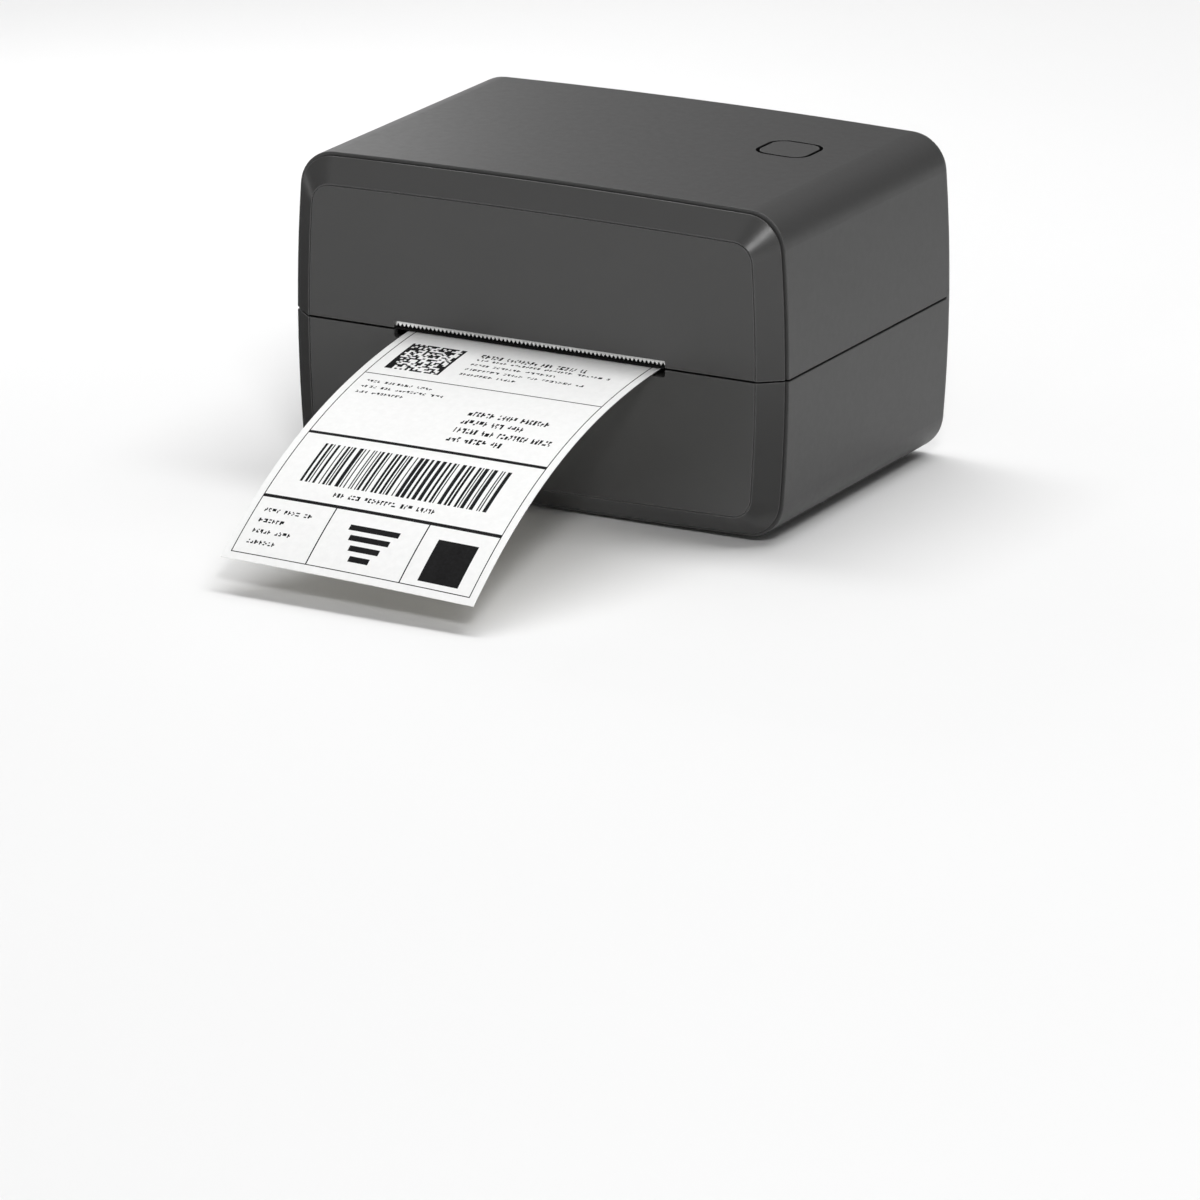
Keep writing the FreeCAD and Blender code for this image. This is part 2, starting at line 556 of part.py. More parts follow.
# ---------------------------------------------------------------- spring bridge over the head
BR = []
bridge = fuse(box(-68.5, 68.5, -50, -40, 82.0, 83.5),
              box(67.0, 68.5, -50, -40, 72.0, 83.5), box(-68.5, -67.0, -50, -40, 72.0, 83.5),
              box(67.0, 77.0, -50, -40, 72.0, 73.5), box(-77.0, -67.0, -50, -40, 72.0, 73.5),
              box(-66.0, 66.0, -41.5, -40, 79.0, 83.5))
BRIDGE_SCREWS = [(73.0, -45.0), (-73.0, -45.0)]
for x, y in BRIDGE_SCREWS:
    bridge = bridge.cut(cyl_z(x, y, 1.6, 60, 80))
SPRING_X, SPRING_Y = 32.0, -46.0
put("spring_bridge", bridge)
put("head_springs", [cut(cyl_z(s * SPRING_X, SPRING_Y, 4.0, 68.4, 82.0),
                         cyl_z(s * SPRING_X, SPRING_Y, 3.1, 60, 90)) for s in (1, -1)])

# ---------------------------------------------------------------- print head
put("head_ceramic", box(-56, 56, -54, -42, 61.25, 62.25))
put("head_driver_cover", prism_yz([(-41.6, 61.0), (-35.6, 61.0), (-34.8, 61.8), (-34.8, 62.25),
                                   (-41.6, 62.25)], -56, 56))
sink = box(-56, 56, -54, -34.8, 62.25, 66.9)
for i in range(4):
    y = -51.5 + i * 4.6
    sink = sink.cut(box(-60, 60, y, y + 1.6, 64.6, 70))
put("head_heatsink", sink)
bracket = [box(-58.5, 58.5, -53, -24, 66.9, 68.4)]
for sgn in (1, -1):
    x0, x1 = sorted((sgn * 57.0, sgn * 58.5))
    bracket.append(prism_yz([(-36, 66.9), (-24, 66.9), (-18.0, 72.0), (-18.0, 76.5), (-19.8, 78.4),
                             (-23.2, 78.4), (-25.0, 76.5), (-25.0, 73.0), (-34.0, 70.4), (-36, 68.4)], x0, x1))
bracket = fuse(*bracket)
bracket = bracket.cut(cyl_x(PIVOT_Y, PIVOT_Z, PIVOT_R + RUN, -70, 70))
for x in (-18, 18):
    bracket = bracket.cut(rounded_square(x, -36, 18, 8, 2.0, 60, 75))
for s in (1, -1):
    bracket = bracket.fuse(cyl_z(s * SPRING_X, SPRING_Y, 2.4, 68.0, 70.4))
bracket = bracket.removeSplitter()
put("head_bracket", bracket)

# ---------------------------------------------------------------- latch (stored released)
COLLAR_R = 5.0
RELEASE = 8.0
arms = []
for sgn in (1, -1):
    x0, x1 = sorted((sgn * 62.6, sgn * 65.0))
    arm = prism_yz([(-27.0, 75.0), (-31.0, 66.0), (-36.6, 56.0), (-38.2, 46.4), (-45.0, 45.8), (-45.9, 46.8),
                    (-44.6, 47.9), (-42.4, 47.9), (-42.3, 57.0), (-37.0, 66.0), (-33.6, 76.0)], x0, x1)
    arms.append(fuse(arm, cyl_x(LATCH_Y, LATCH_Z, 4.3, x0, x1)))
latch = fuse(cyl_x(LATCH_Y, LATCH_Z, LATCH_R, -70.5, 70.5), *arms)
latch.rotate(V(0, LATCH_Y, LATCH_Z), V(1, 0, 0), RELEASE)
put("latch_bar", latch)
put("latch_spring", cut(cyl_x(LATCH_Y, LATCH_Z, 3.9, 48.0, 57.0), cyl_x(LATCH_Y, LATCH_Z, 2.9, 40, 60)))

# ---------------------------------------------------------------- side plates
drive = box(-67.5, -66.0, -55.6, -13, 6, 60)
drive = fuse(drive, box(-67.5, -56.5, -55.6, -14, 6, 7.5))
drive = drive.cut(prism_yz([(-30, 61), (-12, 61), (-12, 45)], -70, -60))
drive = drive.cut(cyl_x(PLATEN_Y, PLATEN_Z, 4.4, -70, -60))
drive = drive.cut(cyl_x(IDLER_Y, IDLER_Z, 2.0, -70, -60))
drive = drive.cut(cyl_x(MOTOR_Y, MOTOR_Z, 5.1, -70, -60))
EAR_A = math.radians(45.0)
EAR_D = 19.5
MOTOR_EARS = [(MOTOR_Y + s * EAR_D * math.cos(EAR_A), MOTOR_Z + s * EAR_D * math.sin(EAR_A)) for s in (1, -1)]
for y, z in MOTOR_EARS:
    drive = drive.cut(cyl_x(y, z, 1.5, -70, -60))
for x, y in PLATE_SCREWS[:2]:
    drive = drive.cut(cyl_z(x, y, 1.6, 0, 10))
put("drive_plate", drive)
side = fuse(box(66.0, 67.5, -55.6, -32, 6, 60), box(56.5, 67.5, -55.6, -33, 6, 7.5))
side = side.cut(prism_yz([(-42, 61), (-31, 61), (-31, 45)], 60, 70))
side = side.cut(cyl_x(PLATEN_Y, PLATEN_Z, 4.4, 60, 70))
for x, y in PLATE_SCREWS[2:]:
    side = side.cut(cyl_z(x, y, 1.6, 0, 10))
put("side_plate", side)
put("plate_screws", [screw(x, y, 7.5, True, 2.7, 1.8, 1.4, 3.0) for x, y in PLATE_SCREWS])

bush = []
for sgn in (1, -1):
    x0, x1 = sorted((sgn * 62.4, sgn * 66.0))
    y0, y1 = sorted((sgn * 66.0, sgn * 68.3))
    b = fuse(cyl_x(PLATEN_Y, PLATEN_Z, COLLAR_R, x0, x1), cyl_x(PLATEN_Y, PLATEN_Z, 4.4, y0, y1))
    bush.append(b.cut(cyl_x(PLATEN_Y, PLATEN_Z, SHAFT_R + RUN, -90, 90)))
put("platen_bushings", bush)

# ---------------------------------------------------------------- platen and gears
put("platen_shaft", cyl_x(PLATEN_Y, PLATEN_Z, SHAFT_R, -73.2, 69.4))
put("platen_roller", cut(cyl_x(PLATEN_Y, PLATEN_Z, PLATEN_R, -PLATEN_HALF, PLATEN_HALF),
                         cyl_x(PLATEN_Y, PLATEN_Z, SHAFT_R, -90, 90)))
gear = prism_yz(gear_points(N_PLATEN, GEAR_M, ai, PLATEN_Y, PLATEN_Z), -73.0, -69.0)
put("platen_gear", gear.cut(cyl_x(PLATEN_Y, PLATEN_Z, SHAFT_R, -90, 0)))
small = prism_yz(gear_points(N_SMALL, GEAR_M, ai + math.pi + math.pi / N_SMALL, IDLER_Y, IDLER_Z), -73.0, -68.7)
large = prism_yz(gear_points(N_LARGE, GEAR_M, am, IDLER_Y, IDLER_Z), -78.0, -74.2)
hub = cyl_x(IDLER_Y, IDLER_Z, 3.9, -78.0, -68.7)
idler = fuse(small, large, hub)
for k in range(5):
    a = am + math.pi / N_LARGE + k * 2 * math.pi / 5
    idler = idler.cut(cyl_x(IDLER_Y + 7.6 * math.cos(a), IDLER_Z + 7.6 * math.sin(a), 2.1, -80, -73.6))
idler = idler.cut(cyl_x(IDLER_Y, IDLER_Z, 2.0 + RUN, -90, -60))
put("idler_gear", idler)
put("idler_pin", fuse(cyl_x(IDLER_Y, IDLER_Z, 2.0, -79.4, -66.0),
                      cyl_x(IDLER_Y, IDLER_Z, 3.4, -79.4, -78.4)))
pinion = prism_yz(gear_points(N_MOTOR, GEAR_M, am + math.pi + math.pi / N_MOTOR, MOTOR_Y, MOTOR_Z), -78.2, -73.6)
put("motor_pinion", pinion.cut(cyl_x(MOTOR_Y, MOTOR_Z, 1.5, -90, -60)))
put("motor_shaft", cyl_x(MOTOR_Y, MOTOR_Z, 1.5, -79.2, -54.0))

# ---------------------------------------------------------------- stepper motor
can = cyl_x(MOTOR_Y, MOTOR_Z, 16.0, -65.0, -45.0)
can = try_fillet(can, 1.2, lambda e: abs(e.BoundBox.XMax + 45.0) < 1e-6 and len(e.Vertexes) == 1, "motor can")
flange_pts = []
plate_m = cyl_x(MOTOR_Y, MOTOR_Z, 16.0, -66.0, -65.0)
for y, z in MOTOR_EARS:
    ear_m = cyl_x(y, z, 3.6, -66.0, -65.0)
    dy, dz = (y - MOTOR_Y) / EAR_D, (z - MOTOR_Z) / EAR_D
    ny, nz = -dz, dy
    web = prism_yz([(MOTOR_Y + ny * 9 + dy * 10, MOTOR_Z + nz * 9 + dz * 10), (y + ny * 3.6, z + nz * 3.6),
                    (y - ny * 3.6, z - nz * 3.6), (MOTOR_Y - ny * 9 + dy * 10, MOTOR_Z - nz * 9 + dz * 10)],
                   -66.0, -65.0)
    plate_m = plate_m.fuse(ear_m).fuse(web)
motor = fuse(can, plate_m, cyl_x(MOTOR_Y, MOTOR_Z, 5.0, -67.6, -66.0), cyl_x(MOTOR_Y, MOTOR_Z, 5.5, -45.0, -43.6))
motor = motor.cut(cyl_x(MOTOR_Y, MOTOR_Z, 1.5 + RUN, -80, -53.0))
for y, z in MOTOR_EARS:
    motor = motor.cut(cyl_x(y, z, 1.5, -70, -60))
motor = fuse(motor, box(-60, -50, MOTOR_Y + 14.0, MOTOR_Y + 19.0, MOTOR_Z - 5, MOTOR_Z + 5))
put("stepper_motor", motor)
put("motor_screws", [fuse(cyl_x(y, z, 1.5, -67.5, -64.4), cyl_x(y, z, 2.7, -69.2, -67.5)) for y, z in MOTOR_EARS])

# ---------------------------------------------------------------- media deck
RAMP_Y0, RAMP_Y1, RAMP_Z1 = 2.0, -38.4, 59.4
deck_sec = [(66.0, DECK_Z), (RAMP_Y0, DECK_Z), (RAMP_Y1, RAMP_Z1), (RAMP_Y1 - 1.0, RAMP_Z1 - 0.6),
            (RAMP_Y1 - 0.6, RAMP_Z1 - 2.2), (RAMP_Y0, DECK_Z - 2.0), (66.0, DECK_Z - 2.0)]
deck = prism_yz(deck_sec, -60.5, 60.5)
deck = deck.fuse(box(-72, 72, 3.0, 64.0, DECK_Z - 2.0, DECK_Z))
for sgn in (1, -1):
    pts = [(70.0, DECK_Z - 2.0), (72.0, DECK_Z - 2.0), (72.0, 55.5), (94.2, 55.5), (94.2, 57.5), (71.4, 57.5), (70.0, 56.2)]
    wall = prism_xz([(sgn * x, z) for x, z in pts], -26.0, 62.4)
    # ahead of the flat deck the inner wall steps outward, clear of the drive
    deck = deck.fuse(wall)
    deck = deck.fuse(box(min(sgn * 60.5, sgn * 72), max(sgn * 60.5, sgn * 72), 1.0, 3.0, DECK_Z - 2.0, 57.5))
deck = deck.removeSplitter()
for x, y in DECK_SCREWS:
    deck = deck.cut(cyl_z(x, y, 1.7, 40, 70))
LEFT_SLOT_Y = GUIDE_Y + 12.2
RIGHT_SLOT_Y = GUIDE_Y - 12.2
deck = deck.cut(box(-69.0, -18.0, LEFT_SLOT_Y - 2.0, LEFT_SLOT_Y + 2.0, 40, 50))
deck = deck.cut(box(18.0, 70.0, RIGHT_SLOT_Y - 2.0, RIGHT_SLOT_Y + 2.0, 40, 50))
deck = deck.cut(box(MEDIA_X - 6.3, MEDIA_X + 6.3, 3.7, 11.3, 40, 50))
deck = deck.fuse(cyl_z(MEDIA_X, GUIDE_Y, 2.5, 41.6, DECK_Z - 1.0)).removeSplitter()
deck = deck.cut(cyl_z(MEDIA_X, GUIDE_Y, 1.2, 40, 46.5))
# moulded runners that ease the web along the deck
for x in (-44, -28, -12, 14, 30, 46):
    deck = deck.fuse(prism_yz([(63.0, DECK_Z - 0.5), (63.0, DECK_Z + 0.0), (61.0, DECK_Z + 0.2), (42.0, DECK_Z + 0.2),
                               (41.0, DECK_Z - 0.5)], x - 0.6, x + 0.6))
deck = deck.removeSplitter()
put("media_deck", deck)
put("deck_screws", [screw(x, y, 57.5, True, 2.8, 1.8, 1.4, 9.0) for x, y in DECK_SCREWS])
put("media_sensor", fuse(box(MEDIA_X - 6.0, MEDIA_X + 6.0, 4.0, 11.0, 41.0, 47.9)).cut(
    cyl_z(MEDIA_X - 2.2, 7.5, 1.3, 47.0, 50)).cut(cyl_z(MEDIA_X + 2.2, 7.5, 1.3, 47.0, 50)))

# ---------------------------------------------------------------- media guides
g_r = GUIDE_M * GUIDE_TEETH / 2.0
face = LABEL_W / 2 + 0.6


def rack_points(x0, x1, y_pitch, side, tooth_at, body):
    """Rack outline in XY; teeth point to -side; one tooth centred at tooth_at."""
    p = math.pi * GUIDE_M
    add, ded = 0.75 * GUIDE_M, 1.05 * GUIDE_M
    tan = math.tan(math.radians(20.0))
    half = p / 4 - 0.09
    k0 = math.ceil((x0 + half + ded * tan + 0.1 - tooth_at) / p)
    k1 = math.floor((x1 - half - ded * tan - 0.1 - tooth_at) / p)
    y_tip, y_root = y_pitch - side * add, y_pitch + side * ded
    pts = [(x0, y_root)]
    for k in range(k0, k1 + 1):
        c = tooth_at + k * p
        pts += [(c - half - ded * tan, y_root), (c - half + add * tan, y_tip),
                (c + half - add * tan, y_tip), (c + half + ded * tan, y_root)]
    pts += [(x1, y_root), (x1, y_pitch + side * body), (x0, y_pitch + side * body)]
    return pts


def guide(sgn):
    """sgn -1 left, +1 right; measured from the middle of the media path."""
    c = MEDIA_X
    ys = GUIDE_Y - sgn * 12.2                       # slot that the tab runs in
    wall_in, wall_out = face, face + 3.0
    pts = [(wall_in, 48.7), (wall_out + 6.0, 48.7), (wall_out + 6.0, 50.2), (wall_out + 0.8, 51.0), (wall_out, 52.0),
           (wall_out, 57.4), (wall_out - 0.8, 58.2), (wall_in - 3.0, 58.2), (wall_in - 3.0, 57.2),
           (wall_in - 0.6, 56.6), (wall_in, 56.0)]
    body = prism_xz([(c + sgn * x, z) for x, z in pts], 8.0, 46.0)
    ends = [e for e in body.Edges if abs(e.tangentAt(e.FirstParameter).z) > 0.99 and e.Length > 3.0]
    tab_x = sorted((c + sgn * (wall_out + 1.0), c + sgn * (wall_out + 5.0)))
    tab = box(tab_x[0], tab_x[1], ys - 1.6, ys + 1.6, 43.0, 49.0)
    side = -sgn
    y_pitch = GUIDE_Y + side * g_r
    inner = c - sgn * 13.0
    outer_x = c + sgn * (wall_out + 5.0)
    x0, x1 = sorted((inner, outer_x))
    # the pinion shows a tooth towards each rack, so each rack has a gap at its middle
    rack = prism_xy(rack_points(x0, x1, y_pitch, side, c + math.pi * GUIDE_M / 2, 5.6), 42.6, 45.6)
    return fuse(body, tab, rack)


put("media_guide_left", guide(-1))
put("media_guide_right", guide(1))
pin_pts = gear_points(GUIDE_TEETH, GUIDE_M, math.pi / 2, MEDIA_X, GUIDE_Y, 0.09)
gpin = prism_xy(pin_pts, 42.6, 45.6)
put("guide_pinion", gpin.cut(cyl_z(MEDIA_X, GUIDE_Y, 2.5 + RUN, 40, 50)))
put("guide_pinion_screw", screw(MEDIA_X, GUIDE_Y, 41.6, False, 3.6, 1.4, 1.2, 4.6))

# ---------------------------------------------------------------- electronics
pcb = box(-36, 78, -10, 60, 9.0, 10.6)
for x, y in BOARD_SCREWS:
    pcb = pcb.cut(cyl_z(x, y, 1.5, 0, 20))
put("main_board", pcb)
put("board_screws", [screw(x, y, 10.6, True, 2.5, 1.5, 1.2, 5.6) for x, y in BOARD_SCREWS])
chips = [box(8, 22, 14, 28, 10.6, 12.0), box(34, 46, 18, 27, 10.6, 11.9), box(-20, -10, 10, 22, 10.6, 13.0),
         box(52, 62, 8, 18, 10.6, 15.6), box(-8, 4, 34, 42, 10.6, 12.2)]
put("board_chips", chips)
put("board_capacitors", [cyl_z(52 + i * 10.5, 28, 4.0, 10.6, 22.6) for i in range(2)] + [cyl_z(-22, 34, 3.2, 10.6, 18.6)])
put("board_connectors", [box(-26, -8, -8, -2, 10.6, 17.0), box(4, 30, -8, -2.5, 10.6, 16.0),
                         box(-34.5, -29, 10, 26, 10.6, 17.0)])
jack = rounded_box_y(DC_X - 4.5, DC_X + 4.5, 54.0, 68.0, 10.6, 21.8, 0.6)
jack = jack.cut(cyl_y(DC_X, 16.2, 3.2, 58.6, 70)).fuse(cyl_y(DC_X, 16.2, 1.0, 58.0, 67.2)).removeSplitter()
put("dc_jack", jack)
usb = box(USB_X - 6.0, USB_X + 6.0, 52.0, 68.0, 10.6, 21.6)
usb = usb.cut(prism_xz([(USB_X - 4.3, 12.2), (USB_X + 4.3, 12.2), (USB_X + 4.3, 18.4), (USB_X + 2.8, 20.2),
                        (USB_X - 2.8, 20.2), (USB_X - 4.3, 18.4)], 58.0, 70))
usb = usb.fuse(box(USB_X - 2.8, USB_X + 2.8, 57.5, 67.0, 14.6, 17.6)).removeSplitter()
put("usb_port", usb)

# ---------------------------------------------------------------- power switch
bez = rounded_box_y(SW_X - 10.5, SW_X + 10.5, Y_REAR, Y_REAR + 1.5, SW_Z - 7.4, SW_Z + 7.4, 1.6)
bez = try_fillet(bez, 0.6, lambda e: abs(e.BoundBox.YMin - Y_REAR - 1.5) < 1e-6, "switch bezel")
sw = fuse(bez, rounded_box_y(SW_X - 9.6, SW_X + 9.6, 50.0, Y_REAR, SW_Z - 6.5, SW_Z + 6.5, 0.7))
sw = sw.cut(box(SW_X - 8.4, SW_X + 8.4, 60.0, 80, SW_Z - 5.4, SW_Z + 5.4))
tabs = [box(SW_X + dx - 0.4, SW_X + dx + 0.4, 43.0, 50.0, SW_Z - 2.4, SW_Z + 2.4) for dx in (-6.0, 0.0, 6.0)]
sw = fuse(sw, *tabs)
put("power_switch", sw)
ROCK_Y = 66.2
ROCK = 7.0
r_pts = [(-7.6, 70.0), (-7.9, 69.2), (-7.2, 65.2), (-3.0, 62.4), (3.0, 62.4), (7.2, 65.2), (7.9, 69.2), (7.6, 70.0),
         (4.0, 69.75), (0.0, 69.3), (-4.0, 69.75)]
rocker = prism_xy([(SW_X + x, y) for x, y in r_pts], SW_Z - 5.2, SW_Z + 5.2)
rocker.rotate(V(SW_X, ROCK_Y, SW_Z), V(0, 0, 1), -ROCK)
put("power_rocker", rocker)

# ---------------------------------------------------------------- label web
def web_line():
    pts = [(69.6, 48.42), (62.0, 48.42), (40.0, 48.42), (8.0, 48.42), (4.0, 48.5), (1.0, 48.95), (-2.0, 49.75),
           (-12.0, 52.57), (-24.0, 55.96), (-33.0, 58.5), (-37.5, 59.68), (-41.0, 60.42), (-44.5, 60.9), (-48.0, 61.06),
           (-54.0, 61.06), (-60.0, 60.98), (-65.0, 60.82)]
    n = 24
    for i in range(n + 1):
        s = 0.3 + (132.5 - 0.3) * i / n
        z = 60.62 - 0.0905 * s - 0.0013 * s * s - 6.4e-06 * s ** 3
        pts.append((Y_FRONT - s, z))
    return pts


def ribbon(pts, t, x0, x1):
    up, lo = [], []
    for i, (y, z) in enumerate(pts):
        a = pts[max(i - 1, 0)]
        b = pts[min(i + 1, len(pts) - 1)]
        dy, dz = b[0] - a[0], b[1] - a[1]
        d = math.hypot(dy, dz)
        ny, nz = dz / d, -dy / d
        if nz < 0:
            ny, nz = -ny, -nz
        up.append((y + ny * t / 2, z + nz * t / 2))
        lo.append((y - ny * t / 2, z - nz * t / 2))
    return prism_yz(up + list(reversed(lo)), x0, x1)


put("label_web", ribbon(web_line(), LABEL_T, MEDIA_X - LABEL_W / 2, MEDIA_X + LABEL_W / 2))

# ---------------------------------------------------------------- write
for old in os.listdir("parts"):
    if old.endswith(".step") and old[:-5] not in NODES:
        os.remove(os.path.join("parts", old))
for name, shape in NODES.items():
    shape.exportStep("parts/%s.step" % name)
print(len(NODES), "nodes")
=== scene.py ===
import json
import math
import random

import bmesh
import bpy
from mathutils import Matrix, Vector


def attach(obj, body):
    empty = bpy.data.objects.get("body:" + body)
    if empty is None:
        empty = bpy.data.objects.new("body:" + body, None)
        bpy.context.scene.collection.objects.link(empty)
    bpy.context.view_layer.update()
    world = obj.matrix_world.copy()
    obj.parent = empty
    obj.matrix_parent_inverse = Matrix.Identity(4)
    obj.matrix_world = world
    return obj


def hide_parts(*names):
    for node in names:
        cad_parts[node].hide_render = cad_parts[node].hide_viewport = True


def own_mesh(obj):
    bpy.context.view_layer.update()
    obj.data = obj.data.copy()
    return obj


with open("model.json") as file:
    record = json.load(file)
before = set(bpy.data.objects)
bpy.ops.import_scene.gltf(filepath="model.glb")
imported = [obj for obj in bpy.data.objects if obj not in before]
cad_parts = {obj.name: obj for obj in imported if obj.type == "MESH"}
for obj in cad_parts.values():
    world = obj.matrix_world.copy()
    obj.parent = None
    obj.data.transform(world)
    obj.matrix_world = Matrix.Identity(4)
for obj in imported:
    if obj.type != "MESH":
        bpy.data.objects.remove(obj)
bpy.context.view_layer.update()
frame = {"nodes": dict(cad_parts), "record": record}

MM = 0.001
NODES = frame["nodes"]


# ------------------------------------------------------------------ material helpers
def new_material(name):
    m = bpy.data.materials.new(name)
    m.use_nodes = True
    nt = m.node_tree
    nt.nodes.clear()
    out = nt.nodes.new("ShaderNodeOutputMaterial")
    out.location = (600, 0)
    bsdf = nt.nodes.new("ShaderNodeBsdfPrincipled")
    bsdf.location = (300, 0)
    nt.links.new(bsdf.outputs["BSDF"], out.inputs["Surface"])
    return m, nt, bsdf


def coords(nt, stretch=(1, 1, 1), turn=(0, 0, 0)):
    tc = nt.nodes.new("ShaderNodeTexCoord")
    mp = nt.nodes.new("ShaderNodeMapping")
    mp.inputs["Scale"].default_value = stretch
    mp.inputs["Rotation"].default_value = turn
    nt.links.new(tc.outputs["Object"], mp.inputs["Vector"])
    return mp.outputs["Vector"]


def noise(nt, scale, detail=2.0, rough=0.5, stretch=(1, 1, 1)):
    n = nt.nodes.new("ShaderNodeTexNoise")
    n.inputs["Scale"].default_value = scale
    n.inputs["Detail"].default_value = detail
    n.inputs["Roughness"].default_value = rough
    nt.links.new(coords(nt, stretch), n.inputs["Vector"])
    return n.outputs["Fac"]


def cells(nt, scale, stretch=(1, 1, 1), feature="F1"):
    n = nt.nodes.new("ShaderNodeTexVoronoi")
    n.feature = feature
    n.inputs["Scale"].default_value = scale
    nt.links.new(coords(nt, stretch), n.inputs["Vector"])
    return n.outputs["Distance"]


def ramp(nt, fac, stops):
    r = nt.nodes.new("ShaderNodeValToRGB")
    el = r.color_ramp.elements
    while len(el) < len(stops):
        el.new(0.5)
    for e, (pos, col) in zip(el, stops):
        e.position = pos
        e.color = (col[0], col[1], col[2], 1.0)
    nt.links.new(fac, r.inputs["Fac"])
    return r.outputs["Color"]


def spread(nt, value, lo, hi, a, b):
    n = nt.nodes.new("ShaderNodeMapRange")
    n.inputs["From Min"].default_value = lo
    n.inputs["From Max"].default_value = hi
    n.inputs["To Min"].default_value = a
    n.inputs["To Max"].default_value = b
    nt.links.new(value, n.inputs["Value"])
    return n.outputs["Result"]


def bump(nt, bsdf, height, strength, distance, under=None):
    n = nt.nodes.new("ShaderNodeBump")
    n.inputs["Strength"].default_value = strength
    n.inputs["Distance"].default_value = distance
    nt.links.new(height, n.inputs["Height"])
    if under is not None:
        nt.links.new(under, n.inputs["Normal"])
    nt.links.new(n.outputs["Normal"], bsdf.inputs["Normal"])
    return n.outputs["Normal"]


def shade(c, k):
    return tuple(min(1.0, v * k) for v in c)


def edges(nt, radius, lo, hi):
    """0 on flat faces, rising to 1 along the edges: the mask of a painted highlight laid along every edge."""
    bev = nt.nodes.new("ShaderNodeBevel")
    bev.samples = 6
    bev.inputs["Radius"].default_value = radius
    geo = nt.nodes.new("ShaderNodeNewGeometry")
    dot = nt.nodes.new("ShaderNodeVectorMath")
    dot.operation = "DOT_PRODUCT"
    nt.links.new(bev.outputs["Normal"], dot.inputs[0])
    nt.links.new(geo.outputs["Normal"], dot.inputs[1])
    return spread(nt, dot.outputs["Value"], hi, lo, 0.0, 1.0)


def both(nt, a, b, operation="MULTIPLY"):
    n = nt.nodes.new("ShaderNodeMath")
    n.operation = operation
    for socket, value in zip(n.inputs, (a, b)):
        if isinstance(value, float):
            socket.default_value = value
        else:
            nt.links.new(value, socket)
    return n.outputs["Value"]


def tint(nt, tone, mask, colour):
    """The tone, turned to another colour where the mask is 1."""
    mix = nt.nodes.new("ShaderNodeMix")
    mix.data_type = "RGBA"
    nt.links.new(mask, mix.inputs["Factor"])
    nt.links.new(tone, mix.inputs[6])
    if isinstance(colour, tuple):
        mix.inputs[7].default_value = (colour[0], colour[1], colour[2], 1.0)
    else:
        nt.links.new(colour, mix.inputs[7])
    return mix.outputs[2]


def away(nt, value, centre):
    size = nt.nodes.new("ShaderNodeMath")
    size.operation = "ABSOLUTE"
    nt.links.new(both(nt, value, centre, "SUBTRACT"), size.inputs[0])
    return size.outputs["Value"]


def groove(nt, x, y, reach, top):
    """Mask of painted shade: 1 on the walls and the bottom of the narrow groove round a button at x, y, whose upper
    face is near top.
    """
    tc = nt.nodes.new("ShaderNodeTexCoord")
    at = nt.nodes.new("ShaderNodeSeparateXYZ")
    nt.links.new(tc.outputs["Object"], at.inputs["Vector"])
    face = nt.nodes.new("ShaderNodeSeparateXYZ")
    nt.links.new(tc.outputs["Normal"], face.inputs["Vector"])
    mask = spread(nt, face.outputs["Z"], 0.93, 0.80, 0.0, 1.0)
    mask = both(nt, mask, both(nt, at.outputs["Z"], top - 0.0012, "LESS_THAN"), "MAXIMUM")
    for axis, centre in (("X", x), ("Y", y)):
        mask = both(nt, mask, both(nt, away(nt, at.outputs[axis], centre), reach, "LESS_THAN"))
    return both(nt, mask, both(nt, at.outputs["Z"], top - 0.0046, "GREATER_THAN"))


def moulded(name, base, rough, grain=900.0, depth=0.12, vary=0.05, rough_vary=0.04, specular=0.5, wave=0.0, cloud_scale=320.0, painted_rim=None, groove_shade=None, flat=None):
    """Injection-moulded plastic: spark-eroded grain, slow changes of tone and of gloss; optionally a painted highlight
    along the edges, painted shade in a button's groove, and a forward-facing panel painted lighter than the slopes
    round it.
    """
    m, nt, b = new_material(name)
    slow = noise(nt, 30.0, 4.0, 0.6)
    tone = ramp(nt, slow, [(0.3, shade(base, 1 - vary)), (0.7, shade(base, 1 + vary))])
    if flat:
        # painted light: the flat panel that faces forward is painted lighter than the slopes round it, chosen by the
        # direction its faces look, standing in for how light falls on the front
        tc = nt.nodes.new("ShaderNodeTexCoord")
        face = nt.nodes.new("ShaderNodeSeparateXYZ")
        nt.links.new(tc.outputs["Normal"], face.inputs["Vector"])
        panel = ramp(nt, slow, [(0.3, shade(base, flat * (1 - vary))), (0.7, shade(base, flat * (1 + vary)))])
        tone = tint(nt, tone, spread(nt, face.outputs["Y"], -0.95, -0.985, 0.0, 1.0), panel)
    # painted highlight: a lighter grey laid along the edges, standing in for light caught on the rounded edges
    if painted_rim:
        radius, highlight_grey = painted_rim
        tone = tint(nt, tone, edges(nt, radius, 0.955, 0.998), (highlight_grey, highlight_grey, highlight_grey))
    # painted shade: the groove round the feed button is turned near-black, standing in for the shade that falls in it
    if groove_shade:
        tone = tint(nt, tone, groove(nt, *groove_shade), (0.004, 0.004, 0.004))
    nt.links.new(tone, b.inputs["Base Color"])
    cloud = noise(nt, cloud_scale, 4.0, 0.65)
    nt.links.new(spread(nt, cloud, 0.3, 0.7, rough - rough_vary, rough + rough_vary), b.inputs["Roughness"])
    b.inputs["Specular IOR Level"].default_value = specular
    fine = noise(nt, grain, 2.0, 0.6)
    first = bump(nt, b, fine, depth, 0.00006)
    if wave:
        bump(nt, b, noise(nt, 22.0, 1.0, 0.4), wave, 0.0006, first)
    return m


